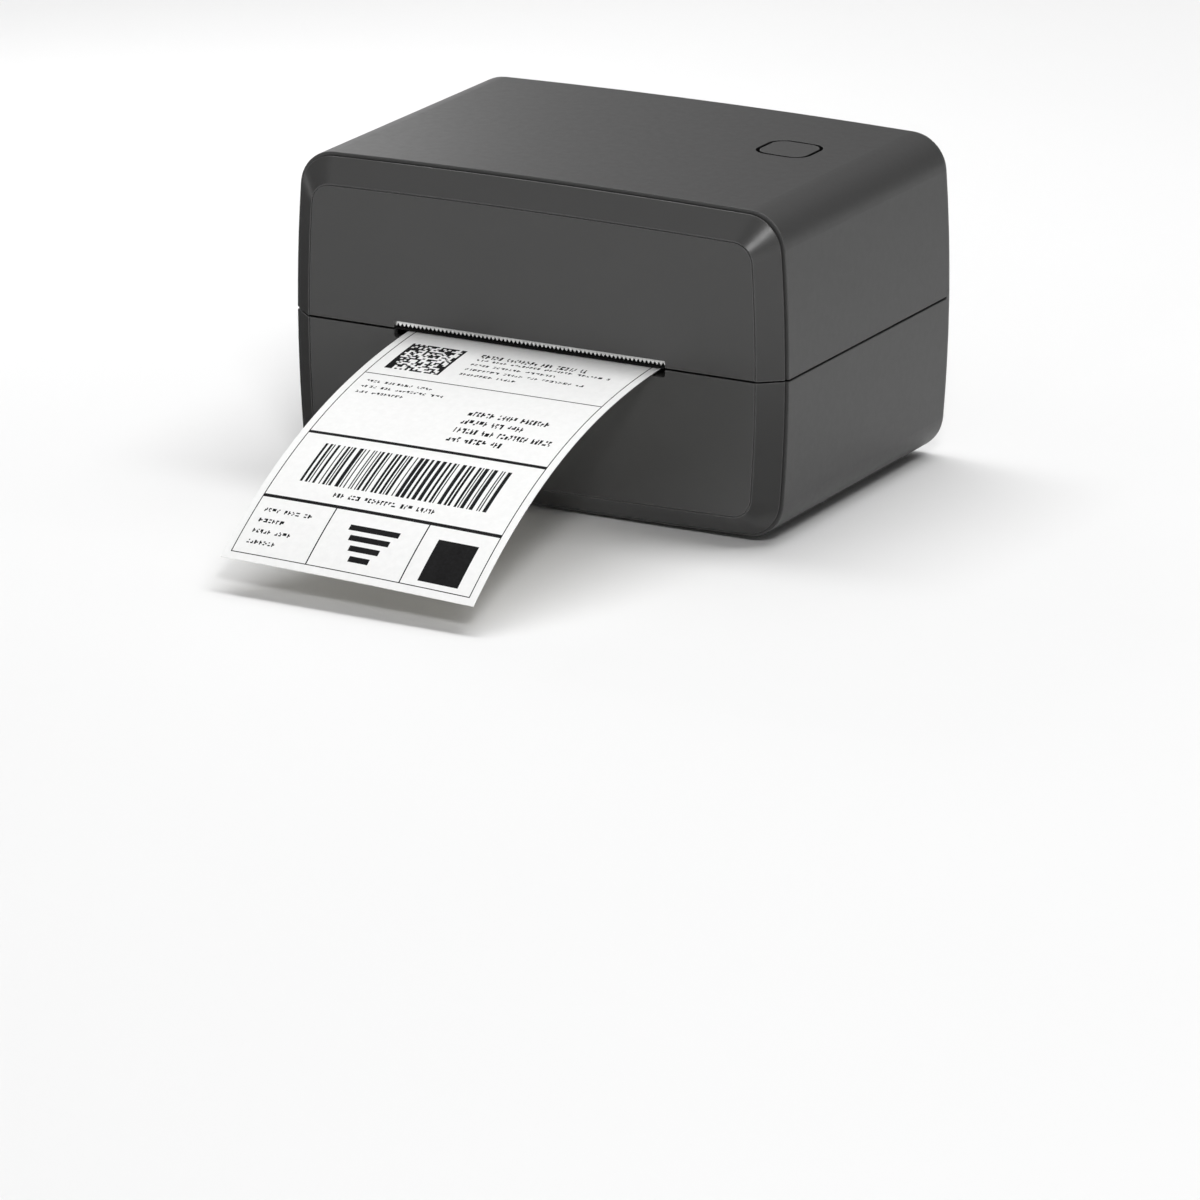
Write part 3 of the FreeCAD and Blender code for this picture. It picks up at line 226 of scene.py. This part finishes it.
def metal(name, base, rough, stretch=(1, 1, 1), scale=700.0, depth=0.1, vary=0.06, rough_vary=0.06, aniso=0.0, tips=None):
    """Metal with drawn, rolled or turned lines along the short stretch axis."""
    m, nt, b = new_material(name)
    b.inputs["Metallic"].default_value = 1.0
    b.inputs["Anisotropic"].default_value = aniso
    lines = noise(nt, scale, 3.0, 0.6, stretch)
    tone = noise(nt, 40.0, 3.0, 0.5)
    colour = ramp(nt, tone, [(0.3, shade(base, 1 - vary)), (0.7, shade(base, 1 + vary))])
    if tips:
        # the strip is darker above the tooth tips, by height
        low, high, above_tips_factor = tips
        tc = nt.nodes.new("ShaderNodeTexCoord")
        at = nt.nodes.new("ShaderNodeSeparateXYZ")
        nt.links.new(tc.outputs["Object"], at.inputs["Vector"])
        colour = tint(nt, colour, spread(nt, at.outputs["Z"], low, high, 0.0, 1.0), shade(base, above_tips_factor))
    nt.links.new(colour, b.inputs["Base Color"])
    nt.links.new(spread(nt, lines, 0.3, 0.7, rough - rough_vary, rough + rough_vary), b.inputs["Roughness"])
    bump(nt, b, lines, depth, 0.00005)
    return m


MATS = {}
# the rim settings paint a highlight along the edges of the housing, the front frames and the inner parts; the
# housing's groove setting paints shade round the feed button, and the front's flat setting paints its forward panel
# lighter
MATS["housing"] = moulded("housing_plastic", (0.040, 0.0397, 0.0394), 0.45, 1100.0, 0.10, 0.02, 0.025, painted_rim=(0.0004, 0.09),
                          groove_shade=(0.0581, 0.0186, 0.0113, 0.1211))
MATS["front"] = moulded("front_plastic", (0.0435, 0.0432, 0.0428), 0.29, 700.0, 0.03, 0.02, 0.008, 0.42, 0.0, 260.0, (0.0004, 0.12), flat=1.22)
MATS["dark_plastic"] = moulded("dark_plastic", (0.017, 0.017, 0.018), 0.47, 900.0, 0.12, 0.10)
MATS["black_plastic"] = moulded("black_plastic", (0.004, 0.004, 0.004), 0.62, 900.0, 0.12, 0.10, specular=0.15)
MATS["grey_plastic"] = moulded("inner_plastic", (0.040, 0.040, 0.041), 0.52, 700.0, 0.22, 0.06, painted_rim=(0.0005, 0.08))
MATS["gear_plastic"] = moulded("acetal", (0.70, 0.68, 0.62), 0.38, 600.0, 0.06, 0.03)
MATS["gear_plastic"].node_tree.nodes["Principled BSDF"].inputs["Subsurface Weight"].default_value = 0.12
MATS["gear_plastic"].node_tree.nodes["Principled BSDF"].inputs["Subsurface Scale"].default_value = 0.002
MATS["white_plastic"] = moulded("white_plastic", (0.74, 0.73, 0.70), 0.40, 700.0, 0.08, 0.04)
MATS["rubber"] = moulded("foot_rubber", (0.020, 0.020, 0.020), 0.78, 1400.0, 0.35, 0.15, 0.06, 0.35)
MATS["steel"] = metal("plated_sheet", (0.58, 0.58, 0.57), 0.42, (1, 1, 0.04), 900.0)
MATS["shaft_steel"] = metal("ground_shaft", (0.66, 0.66, 0.65), 0.19, (1, 0.03, 0.03), 1600.0, 0.06, 0.03, 0.04)
MATS["spring_steel"] = metal("spring_wire", (0.52, 0.52, 0.53), 0.33, (1, 1, 1), 1500.0, 0.08, 0.06, 0.045)
MATS["screw_steel"] = metal("zinc_screw", (0.58, 0.58, 0.60), 0.34, (1, 1, 1), 1200.0, 0.10, 0.06, 0.05)
MATS["tear_steel"] = metal("tear_strip", (0.97, 0.97, 0.96), 0.33, (0.02, 1, 1), 1500.0, 0.08, 0.03, 0.045, tips=(0.0627, 0.0637, 0.62))
MATS["aluminium"] = metal("extruded_aluminium", (0.76, 0.77, 0.78), 0.33, (0.02, 1, 1), 1100.0, 0.12, 0.05, 0.06)
MATS["brass"] = metal("brass", (0.78, 0.58, 0.26), 0.34, (1, 0.05, 0.05), 1300.0, 0.08, 0.06, 0.05)


def platen_material():
    m, nt, b = new_material("platen_rubber")
    turned = noise(nt, 1500.0, 2.0, 0.6, (1, 0.04, 0.04))
    slow = noise(nt, 60.0, 2.0, 0.5)
    nt.links.new(ramp(nt, slow, [(0.3, (0.022, 0.022, 0.023)), (0.7, (0.034, 0.034, 0.035))]), b.inputs["Base Color"])
    nt.links.new(spread(nt, turned, 0.3, 0.7, 0.56, 0.74), b.inputs["Roughness"])
    b.inputs["Specular IOR Level"].default_value = 0.38
    bump(nt, b, turned, 0.30, 0.00006)
    return m


def ceramic_material():
    """Alumina plate: a dark glazed heater line along the print line, with fine conductors running back from it."""
    m, nt, b = new_material("glazed_alumina")
    speck = noise(nt, 1800.0, 3.0, 0.7)
    tone = ramp(nt, speck, [(0.25, (0.60, 0.56, 0.47)), (0.75, (0.74, 0.70, 0.62))])
    tc = nt.nodes.new("ShaderNodeTexCoord")
    at = nt.nodes.new("ShaderNodeSeparateXYZ")
    nt.links.new(tc.outputs["Object"], at.inputs["Vector"])
    comb = nt.nodes.new("ShaderNodeMath")
    comb.operation = "PINGPONG"
    comb.inputs[1].default_value = 0.0003
    nt.links.new(at.outputs["X"], comb.inputs[0])
    wires = both(nt, spread(nt, comb.outputs["Value"], 0.00012, 0.00018, 0.0, 0.75),
                 spread(nt, away(nt, at.outputs["Y"], -0.0458), 0.0021, 0.0022, 1.0, 0.0))
    tone = tint(nt, tone, wires, (0.52, 0.33, 0.10))
    tone = tint(nt, tone, spread(nt, away(nt, at.outputs["Y"], -0.048), 0.0005, 0.00065, 1.0, 0.0), (0.035, 0.022, 0.016))
    nt.links.new(tone, b.inputs["Base Color"])
    nt.links.new(spread(nt, noise(nt, 90.0), 0.3, 0.7, 0.12, 0.22), b.inputs["Roughness"])
    b.inputs["Coat Weight"].default_value = 0.5
    b.inputs["Coat Roughness"].default_value = 0.06
    bump(nt, b, speck, 0.05, 0.00004)
    return m


def board_material():
    """Solder mask over copper: a darker laminate, lighter tracks in two directions and small pads."""
    m, nt, b = new_material("circuit_board")
    tracks = nt.nodes.new("ShaderNodeTexBrick")
    tracks.offset = 0.37
    tracks.offset_frequency = 3
    tracks.squash = 0.6
    tracks.squash_frequency = 2
    for key, value in (("Scale", 95.0), ("Mortar Size", 0.035), ("Mortar Smooth", 0.15), ("Brick Width", 1.9), ("Row Height", 0.17)):
        tracks.inputs[key].default_value = value
    tracks.inputs["Color1"].default_value = (0.010, 0.085, 0.034, 1)
    tracks.inputs["Color2"].default_value = (0.013, 0.100, 0.041, 1)
    tracks.inputs["Mortar"].default_value = (0.026, 0.170, 0.070, 1)
    nt.links.new(coords(nt), tracks.inputs["Vector"])
    nt.links.new(tracks.outputs["Color"], b.inputs["Base Color"])
    nt.links.new(spread(nt, noise(nt, 260.0, 3.0), 0.3, 0.7, 0.285, 0.39), b.inputs["Roughness"])
    b.inputs["Coat Weight"].default_value = 0.25
    b.inputs["Coat Roughness"].default_value = 0.18
    bump(nt, b, tracks.outputs["Fac"], 0.25, 0.00006)
    return m


def capacitor_material():
    """Sleeved can: dark sleeve round the side, bare aluminium on the flat top."""
    m, nt, b = new_material("capacitor_can")
    geo = nt.nodes.new("ShaderNodeNewGeometry")
    sep = nt.nodes.new("ShaderNodeSeparateXYZ")
    nt.links.new(geo.outputs["Normal"], sep.inputs["Vector"])
    top = ramp(nt, sep.outputs["Z"], [(0.80, (0, 0, 0)), (0.86, (1, 1, 1))])
    nt.links.new(ramp(nt, sep.outputs["Z"], [(0.80, (0.012, 0.014, 0.030)), (0.86, (0.74, 0.74, 0.75))]), b.inputs["Base Color"])
    nt.links.new(top, b.inputs["Metallic"])
    fine = noise(nt, 900.0, 2.0)
    nt.links.new(spread(nt, fine, 0.3, 0.7, 0.285, 0.37), b.inputs["Roughness"])
    bump(nt, b, fine, 0.06, 0.00004)
    return m


def motor_material():
    """Stepper can: plated metal, with fine lines and slow changes of tone."""
    m, nt, b = new_material("motor_can")
    b.inputs["Metallic"].default_value = 1.0
    lines = noise(nt, 1200.0, 2.0, 0.6, (1, 0.05, 0.05))
    tone = noise(nt, 30.0, 3.0)
    nt.links.new(ramp(nt, tone, [(0.3, (0.46, 0.46, 0.45)), (0.7, (0.58, 0.58, 0.57))]), b.inputs["Base Color"])
    nt.links.new(spread(nt, lines, 0.3, 0.7, 0.29, 0.41), b.inputs["Roughness"])
    bump(nt, b, lines, 0.12, 0.00005)
    return m


def paper_material():
    """Coated thermal face: faint fibre cloud, very fine tooth, soft gloss."""
    m, nt, b = new_material("label_paper")
    fibre = noise(nt, 420.0, 5.0, 0.65)
    nt.links.new(ramp(nt, fibre, [(0.30, (0.785, 0.785, 0.78)), (0.70, (0.83, 0.83, 0.825))]), b.inputs["Base Color"])
    nt.links.new(spread(nt, noise(nt, 130.0, 3.0), 0.3, 0.7, 0.50, 0.62), b.inputs["Roughness"])
    b.inputs["Specular IOR Level"].default_value = 0.40
    bump(nt, b, fibre, 0.10, 0.00005)
    return m


def liner_material():
    """Glassine backing, seen on the underside: a little warmer and shinier than the face."""
    m, nt, b = new_material("label_backing")
    fibre = noise(nt, 300.0, 5.0, 0.65)
    nt.links.new(ramp(nt, fibre, [(0.30, (0.70, 0.68, 0.62)), (0.70, (0.77, 0.75, 0.69))]), b.inputs["Base Color"])
    nt.links.new(spread(nt, noise(nt, 150.0, 3.0), 0.3, 0.7, 0.34, 0.44), b.inputs["Roughness"])
    bump(nt, b, fibre, 0.08, 0.00005)
    return m


def ink_material():
    """Heat-developed black: slightly uneven density."""
    m, nt, b = new_material("thermal_print")
    nt.links.new(ramp(nt, noise(nt, 900.0, 3.0, 0.6), [(0.30, (0.003, 0.003, 0.003)), (0.75, (0.008, 0.008, 0.009))]), b.inputs["Base Color"])
    nt.links.new(spread(nt, noise(nt, 130.0, 3.0), 0.3, 0.7, 0.58, 0.70), b.inputs["Roughness"])
    b.inputs["Specular IOR Level"].default_value = 0.10
    return m


MATS["platen_rubber"] = platen_material()
MATS["ceramic"] = ceramic_material()
MATS["board"] = board_material()
MATS["chip"] = moulded("chip_epoxy", (0.014, 0.014, 0.015), 0.42, 1600.0, 0.10, 0.12)
MATS["capacitor"] = capacitor_material()
MATS["motor"] = motor_material()
MATS["paper"] = paper_material()

for part in frame["record"]["subparts"]:
    node = NODES[part["node"]]
    finish = MATS[part["material_slot"]]
    if not node.material_slots:
        node.data.materials.append(finish)
    # the feed button takes the housing finish, so the painted shade of the groove also darkens its sides and flange
    if part["node"] == "feed_button":
        finish = MATS["housing"]
    if part["node"] == "tear_bar_guard":
        finish = MATS["black_plastic"]
    for s in node.material_slots:
        s.material = finish


# ------------------------------------------------------------------ mesh helpers
def add_mesh(name, verts, faces, mats, picks=None, smooth=True):
    me = bpy.data.meshes.new(name)
    me.from_pydata([tuple(c * MM for c in v) for v in verts], [], faces)
    for m in mats:
        me.materials.append(m)
    if picks:
        me.polygons.foreach_set("material_index", picks)
    me.polygons.foreach_set("use_smooth", [smooth] * len(me.polygons))
    me.update()
    ob = bpy.data.objects.new(name, me)
    bpy.context.scene.collection.objects.link(ob)
    return ob


def tube(line, radius, sides=12):
    """Verts and faces of a closed round tube along a polyline of points in mm."""
    pts = [Vector(p) for p in line]
    verts, faces = [], []
    t_prev = (pts[1] - pts[0]).normalized()
    side = t_prev.orthogonal().normalized()
    for i, p in enumerate(pts):
        a, c = pts[max(i - 1, 0)], pts[min(i + 1, len(pts) - 1)]
        t = (c - a).normalized()
        side = t_prev.rotation_difference(t) @ side
        side = (side - t * side.dot(t)).normalized()
        other = t.cross(side)
        for k in range(sides):
            w = 2 * math.pi * k / sides
            verts.append(p + (side * math.cos(w) + other * math.sin(w)) * radius)
        t_prev = t
    for i in range(len(pts) - 1):
        for k in range(sides):
            j = (k + 1) % sides
            faces.append((i * sides + k, i * sides + j, (i + 1) * sides + j, (i + 1) * sides + k))
    faces.append(tuple(reversed(range(sides))))
    last = (len(pts) - 1) * sides
    faces.append(tuple(range(last, last + sides)))
    return verts, faces


def coil_line(radius, start, end, turns, dead, wire, steps=28):
    """Points of a compression coil along +Z with closed end turns."""
    pts = []
    total = turns + 2 * dead
    n = int(total * steps)
    low, high = start + wire / 2, end - wire / 2
    flat = wire * 1.04 * dead
    for i in range(n + 1):
        q = total * i / n
        if q < dead:
            z = low + flat * q / dead
        elif q > dead + turns:
            z = high - flat * (total - q) / dead
        else:
            f = (q - dead) / turns
            f = f + 0.5 * (f * f * (3 - 2 * f) - f)
            z = low + flat + (high - low - 2 * flat) * f
        w = 2 * math.pi * q
        pts.append((radius * math.cos(w), radius * math.sin(w), z))
    return pts


def join(parts):
    verts, faces = [], []
    for v, f in parts:
        base = len(verts)
        verts += v
        faces += [tuple(i + base for i in face) for face in f]
    return verts, faces


# ------------------------------------------------------------------ springs
parts = []
for x in (-32.0, 32.0):
    v, f = tube([(x + p[0], -46.0 + p[1], p[2]) for p in coil_line(3.5, 68.4, 82.0, 5.0, 1.25, 0.86)], 0.43)
    parts.append((v, f))
head_coils = add_mesh("head_spring_coils", *join(parts), [MATS["spring_steel"]])
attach(head_coils, "lid")
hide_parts("head_springs")
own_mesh(head_coils)

v, f = tube([(58.1 + p[0], 18.6 + p[1], p[2]) for p in coil_line(4.98, 107.6, 117.4, 3.5, 1.1, 0.76)], 0.38)
button_coil = add_mesh("button_spring_coil", v, f, [MATS["spring_steel"]])
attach(button_coil, "lid")
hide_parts("button_spring")
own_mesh(button_coil)

v, f = tube([(p[2], -30.0 + p[0], 77.0 + p[1]) for p in coil_line(3.4, 48.0, 57.0, 5.2, 1.3, 0.9)], 0.45)
latch_coil = add_mesh("latch_spring_coil", v, f, [MATS["spring_steel"]])
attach(latch_coil, "lid")
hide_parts("latch_spring")


# ------------------------------------------------------------------ label web
MEDIA_X, LABEL_W, LABEL_T = 1.0, 101.6, 0.25
Y_FRONT = -68.8
INSIDE = [(69.6, 48.42), (62.0, 48.42), (40.0, 48.42), (8.0, 48.42), (4.0, 48.5), (1.0, 48.95), (-2.0, 49.75),
          (-12.0, 52.57), (-24.0, 55.96), (-33.0, 58.5), (-37.5, 59.68), (-41.0, 60.42), (-44.5, 60.9), (-48.0, 61.06),
          (-54.0, 61.06), (-60.0, 60.98), (-65.0, 60.82)]


def web_curve():
    """Dense (y, z) points of the web, with the arc measured from the slot: below 0 inside, above 0 outside."""
    pts = list(INSIDE)
    for i in range(133):
        s = 0.3 + (132.5 - 0.3) * i / 132
        pts.append((Y_FRONT - s, 60.62 - 0.0905 * s - 0.0013 * s * s - 6.4e-06 * s ** 3))
    arc = [0.0]
    for p, q in zip(pts, pts[1:]):
        arc.append(arc[-1] + math.hypot(q[0] - p[0], q[1] - p[1]))
    zero = arc[len(INSIDE)] - 0.3
    return [(a - zero, p[0], p[1]) for a, p in zip(arc, pts)]


WEB = web_curve()
A_MIN, A_MAX = WEB[0][0], WEB[-1][0]


def web_point(a):
    """(y, z, normal y, normal z) at arc a, with the corners of the inner run eased."""
    def at(b):
        b = min(max(b, A_MIN), A_MAX)
        lo, hi = 0, len(WEB) - 1
        while hi - lo > 1:
            mid = (lo + hi) // 2
            if WEB[mid][0] <= b:
                lo = mid
            else:
                hi = mid
        k = (b - WEB[lo][0]) / (WEB[hi][0] - WEB[lo][0])
        return (WEB[lo][1] + (WEB[hi][1] - WEB[lo][1]) * k, WEB[lo][2] + (WEB[hi][2] - WEB[lo][2]) * k)
    h = 0.9
    y, z = at(a)
    if A_MIN + h < a < 2.0:
        sm = [at(a + h * j / 2) for j in (-2, -1, 0, 1, 2)]
        y = sum(p[0] for p in sm) / 5
        z = sum(p[1] for p in sm) / 5
    p, q = at(a - h), at(a + h)
    ty, tz = q[0] - p[0], q[1] - p[1]
    d = math.hypot(ty, tz)
    return y, z, tz / d, -ty / d


def label_layout():
    """Rectangles (u0, u1, a0, a1) of the print, in mm on the flat label: plain bars, rules, blocks and dashes."""
    rnd = random.Random(417)
    out = []
    edge = 48.0
    end = A_MAX - 3.0
    for u in (-edge, edge - 0.4):
        out.append((u, u + 0.4, -12.0, end))
    out.append((-edge, edge, end - 0.4, end))

    def dashes(u0, u1, a0, height, fill=1.0):
        """One row of small upright marks in groups."""
        u = u0
        stop = u0 + (u1 - u0) * fill
        row = height / 3.0
        while u < stop - 2.0:
            for _ in range(rnd.randint(3, 8)):
                if u > stop - 1.5:
                    break
                wide = rnd.choice((1.0, 1.0, 1.5))
                on = [rnd.random() < 0.62 for _ in range(6)]
                if sum(on) < 3:
                    on = [True, False, True, True, True, False]
                for r in range(3):
                    for c in range(2):
                        if on[r * 2 + c]:
                            out.append((u + c * wide / 2, u + (c + 1) * wide / 2, a0 + r * row, a0 + (r + 1) * row))
                u += wide + 0.5
            u += 1.5

    # block of square cells, with rows of dashes beside it
    for r in range(22):
        for c in range(22):
            if r in (0, 21) and c % 2 == 0 or c in (0, 21) or rnd.random() < 0.48:
                out.append((-43.0 + c, -42.0 + c, 9.0 + r, 10.0 + r))
    for k, (h, f) in enumerate(((3.0, 0.75), (1.5, 0.95), (1.5, 0.6), (1.5, 0.85), (1.5, 0.4))):
        dashes(-14.0, 44.0, 10.0 + k * 4.2, h, f)
    out.append((-edge, edge, 36.0, 36.5))
    # two columns of rows
    for k, f in enumerate((0.8, 1.0, 0.65)):
        dashes(-44.0, -10.0, 41.0 + 4.0 * k, 1.5, f)
    for k, f in enumerate((0.9, 0.7, 1.0, 0.55)):
        dashes(4.0, 44.0, 52.0 + 5.5 * k, 3.0, f)
    out.append((-edge, edge, 77.0, 78.5))
    # upright bars
    u = -38.0
    while u < 37.0:
        w = rnd.choice((0.5, 0.5, 1.0, 1.0, 1.5))
        out.append((u, u + w, 83.0, 104.0))
        u += w + rnd.choice((0.5, 0.5, 1.0, 1.0, 1.5))
    dashes(-22.0, 22.0, 107.0, 2.1)
    out.append((-edge, edge, 112.5, 114.0))
    # three boxes
    out.append((-18.0, -17.5, 114.0, end))
    out.append((19.5, 20.0, 114.0, end))
    for k, f in enumerate((0.9, 0.6, 0.8, 0.5)):
        dashes(-44.0, -21.0, 119.0 + 5.0 * k, 1.8, f)
    for r in range(4):
        out.append((-9.0 + r * 2.0, 11.0 - r * 2.0, 120.0 + r * 4.5, 122.5 + r * 4.5))
    out.append((26.0, 42.0, 119.5, 138.0))
    return out


def cut(values, lo, hi, step):
    n = max(1, int(round((hi - lo) / step)))
    vals = sorted(set([round(lo + (hi - lo) * i / n, 4) for i in range(n + 1)] + [round(v, 4) for v in values if lo < v < hi]))
    kept = [vals[0]]
    for v in vals[1:]:
        if v - kept[-1] > 0.06:
            kept.append(v)
        elif any(abs(v - w) < 1e-6 for w in values):
            kept[-1] = v if len(kept) > 1 else kept[-1]
    kept[-1] = vals[-1]
    return kept


def build_label():
    marks = label_layout()
    half = LABEL_W / 2
    us = cut([c for m in marks for c in m[:2]], -half, half, 6.0)
    as_ = cut([c for m in marks for c in m[2:]], A_MIN, A_MAX, 1.6)
    inked = set()
    for u0, u1, a0, a1 in marks:
        cols = [i for i in range(len(us) - 1) if u0 - 1e-3 < (us[i] + us[i + 1]) / 2 < u1 + 1e-3]
        rows = [j for j in range(len(as_) - 1) if a0 - 1e-3 < (as_[j] + as_[j + 1]) / 2 < a1 + 1e-3]
        inked.update((i, j) for i in cols for j in rows)
    verts, faces, picks = [], [], []

    def place(u, a, lift):
        t = max(0.0, a) / A_MAX
        k = u / half
        b = a - 1.3 * t + 1.4 * k * t
        y, z, ny, nz = web_point(b)
        dz = 0.55 * k * math.sin(math.pi * 1.15 * t) - 0.45 * k * k * t
        return (MEDIA_X + u, y + ny * lift, z + nz * lift + dz)

    for a in as_:
        for u in us:
            verts.append(place(u, a, LABEL_T / 2))
    n = len(us)
    for j in range(len(as_) - 1):
        for i in range(n - 1):
            faces.append((j * n + i, j * n + i + 1, (j + 1) * n + i + 1, (j + 1) * n + i))
            picks.append(1 if (i, j) in inked else 0)
    low = len(verts)
    for a in as_:
        verts.append(place(us[0], a, -LABEL_T / 2))
        verts.append(place(0.0, a, -LABEL_T / 2))
        verts.append(place(us[-1], a, -LABEL_T / 2))
    for j in range(len(as_) - 1):
        p, q = low + 3 * j, low + 3 * (j + 1)
        faces.append((p, q, q + 1, p + 1))
        faces.append((p + 1, q + 1, q + 2, p + 2))
        picks += [2, 2]
        faces.append((j * n, (j + 1) * n, q, p))
        faces.append(((j + 1) * n + n - 1, j * n + n - 1, p + 2, q + 2))
        picks += [0, 0]
    last = len(as_) - 1
    faces.append(tuple([low, low + 1, low + 2] + [i for i in reversed(range(n))]))
    picks.append(0)
    faces.append(tuple([low + 3 * last + 2, low + 3 * last + 1, low + 3 * last] + [last * n + i for i in range(n)]))
    picks.append(0)
    ob = add_mesh("label_strip", verts, faces, [MATS["paper"], ink_material(), liner_material()], picks, smooth=True)
    bm = bmesh.new()
    bm.from_mesh(ob.data)
    bmesh.ops.recalc_face_normals(bm, faces=bm.faces)
    for e in bm.edges:
        if len(e.link_faces) == 2 and e.link_faces[0].normal.angle(e.link_faces[1].normal, 0.0) > 0.6:
            e.smooth = False
    bm.to_mesh(ob.data)
    bm.free()
    return ob


label = build_label()
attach(label, "base")
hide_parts("label_web")


# ------------------------------------------------------------------ stage, light and camera
def floor_material():
    m, nt, b = new_material("studio_floor")
    nt.links.new(ramp(nt, noise(nt, 2.0, 2.0), [(0.3, (0.815, 0.815, 0.815)), (0.7, (0.83, 0.83, 0.83))]), b.inputs["Base Color"])
    nt.links.new(spread(nt, noise(nt, 5.0, 2.0), 0.3, 0.7, 0.82, 0.9), b.inputs["Roughness"])
    b.inputs["Specular IOR Level"].default_value = 0.1
    # far from the set, where the soft boxes don't reach, the sweep is lit from within
    reach = nt.nodes.new("ShaderNodeVectorMath")
    reach.operation = "LENGTH"
    nt.links.new(coords(nt), reach.inputs[0])
    nt.links.new(spread(nt, reach.outputs["Value"], 1.0, 3.2, 0.0, 0.78), b.inputs["Emission Strength"])
    b.inputs["Emission Color"].default_value = (1.0, 1.0, 1.0, 1.0)
    return m


def floor():
    n, size = 24, 14000.0
    verts = [(-size / 2 + size * i / n, -size / 2 + size * j / n, 0.0) for j in range(n + 1) for i in range(n + 1)]
    faces = [(j * (n + 1) + i, j * (n + 1) + i + 1, (j + 1) * (n + 1) + i + 1, (j + 1) * (n + 1) + i) for j in range(n) for i in range(n)]
    ob = add_mesh("studio_floor", verts, faces, [floor_material()])
    return ob


floor()


def softbox(name, place, aim, width, height, watts):
    data = bpy.data.lights.new(name, "AREA")
    data.shape = "RECTANGLE"
    data.size, data.size_y = width, height
    data.energy = watts
    ob = bpy.data.objects.new(name, data)
    bpy.context.scene.collection.objects.link(ob)
    ob.location = place
    ob.rotation_mode = "QUATERNION"
    ob.rotation_quaternion = (Vector(aim) - Vector(place)).to_track_quat("-Z", "Y")
    ob.visible_camera = False
    return ob


softbox("overhead", (0.0, 0.27, 2.5), (0.0, 0.27, 0.0), 3.4, 0.64, 46.0)
softbox("wide_top", (0.0, 0.95, 2.5), (0.0, 0.45, 0.0), 3.4, 2.0, 25.0)
softbox("key_right", (1.15, -1.75, 1.60), (0.02, -0.04, 0.07), 0.42, 0.42, 19.5)
softbox("front_left", (-1.0, -1.25, 1.70), (0.0, -0.05, 0.08), 1.0, 1.0, 1.6)
softbox("rear_left", (-0.50, 0.38, 0.34), (-0.05, 0.0, 0.12), 0.36, 0.20, 0.50)
softbox("rear_soft", (-0.95, 1.05, 0.52), (-0.06, 0.0, 0.12), 0.9, 0.4, 0.40)
softbox("low_fill", (1.05, -1.75, 0.10), (0.02, -0.07, 0.03), 0.7, 0.14, 5.5)


def flag(name, x0, x1, y0, y1, z):
    """Dark card beside the set that only reflections see."""
    m, nt, b = new_material("flag_cloth")
    nt.links.new(ramp(nt, noise(nt, 300.0), [(0.3, (0.010, 0.010, 0.010)), (0.7, (0.016, 0.016, 0.016))]), b.inputs["Base Color"])
    b.inputs["Roughness"].default_value = 0.9
    n = 4
    verts = [(x0 + (x1 - x0) * i / n, y0 + (y1 - y0) * j / n, z) for j in range(n + 1) for i in range(n + 1)]
    faces = [(j * (n + 1) + i, j * (n + 1) + i + 1, (j + 1) * (n + 1) + i + 1, (j + 1) * (n + 1) + i) for j in range(n) for i in range(n)]
    ob = add_mesh(name, verts, faces, [m])
    ob.visible_camera = False
    ob.visible_diffuse = False
    ob.visible_shadow = False
    ob.visible_transmission = False
    return ob


flag("left_flag", -620.0, -112.0, -160.0, 420.0, 1.0)
flag("front_flag", 90.0, 262.0, -235.0, -70.0, 1.0)
flag("rear_flag", -1200.0, 92.0, 92.0, 1600.0, 1.0)

world = bpy.data.worlds.new("studio_world")
bpy.context.scene.world = world
world.use_nodes = True
wn = world.node_tree
wn.nodes.clear()
w_out = wn.nodes.new("ShaderNodeOutputWorld")
w_mix = wn.nodes.new("ShaderNodeMixShader")
w_path = wn.nodes.new("ShaderNodeLightPath")
w_lit = wn.nodes.new("ShaderNodeBackground")
w_lit.inputs["Color"].default_value = (1.0, 1.0, 1.0, 1.0)
w_lit.inputs["Strength"].default_value = 0.16
w_seen = wn.nodes.new("ShaderNodeBackground")
w_seen.inputs["Color"].default_value = (0.93, 0.93, 0.93, 1.0)
w_seen.inputs["Strength"].default_value = 1.0
wn.links.new(w_path.outputs["Is Camera Ray"], w_mix.inputs["Fac"])
wn.links.new(w_lit.outputs["Background"], w_mix.inputs[1])
wn.links.new(w_seen.outputs["Background"], w_mix.inputs[2])
wn.links.new(w_mix.outputs["Shader"], w_out.inputs["Surface"])

bpy.context.scene.view_settings.view_transform = "Standard"

cam_data = bpy.data.cameras.new("photo_camera")
cam_data.sensor_width = 36.0
cam_data.lens = 253.4723
cam_data.clip_start, cam_data.clip_end = 0.1, 60.0
cam = bpy.data.objects.new("photo_camera", cam_data)
bpy.context.scene.collection.objects.link(cam)
right = Vector((0.8780, 0.4786, 0.0006))
back = Vector((0.4561, -0.8371, 0.3021)).normalized()
right = (right - back * right.dot(back)).normalized()
up = back.cross(right)
cam.matrix_world = Matrix(((right.x, up.x, back.x, 1.39995), (right.y, up.y, back.y, -2.58567), (right.z, up.z, back.z, 0.88057), (0, 0, 0, 1)))
bpy.context.scene.camera = cam
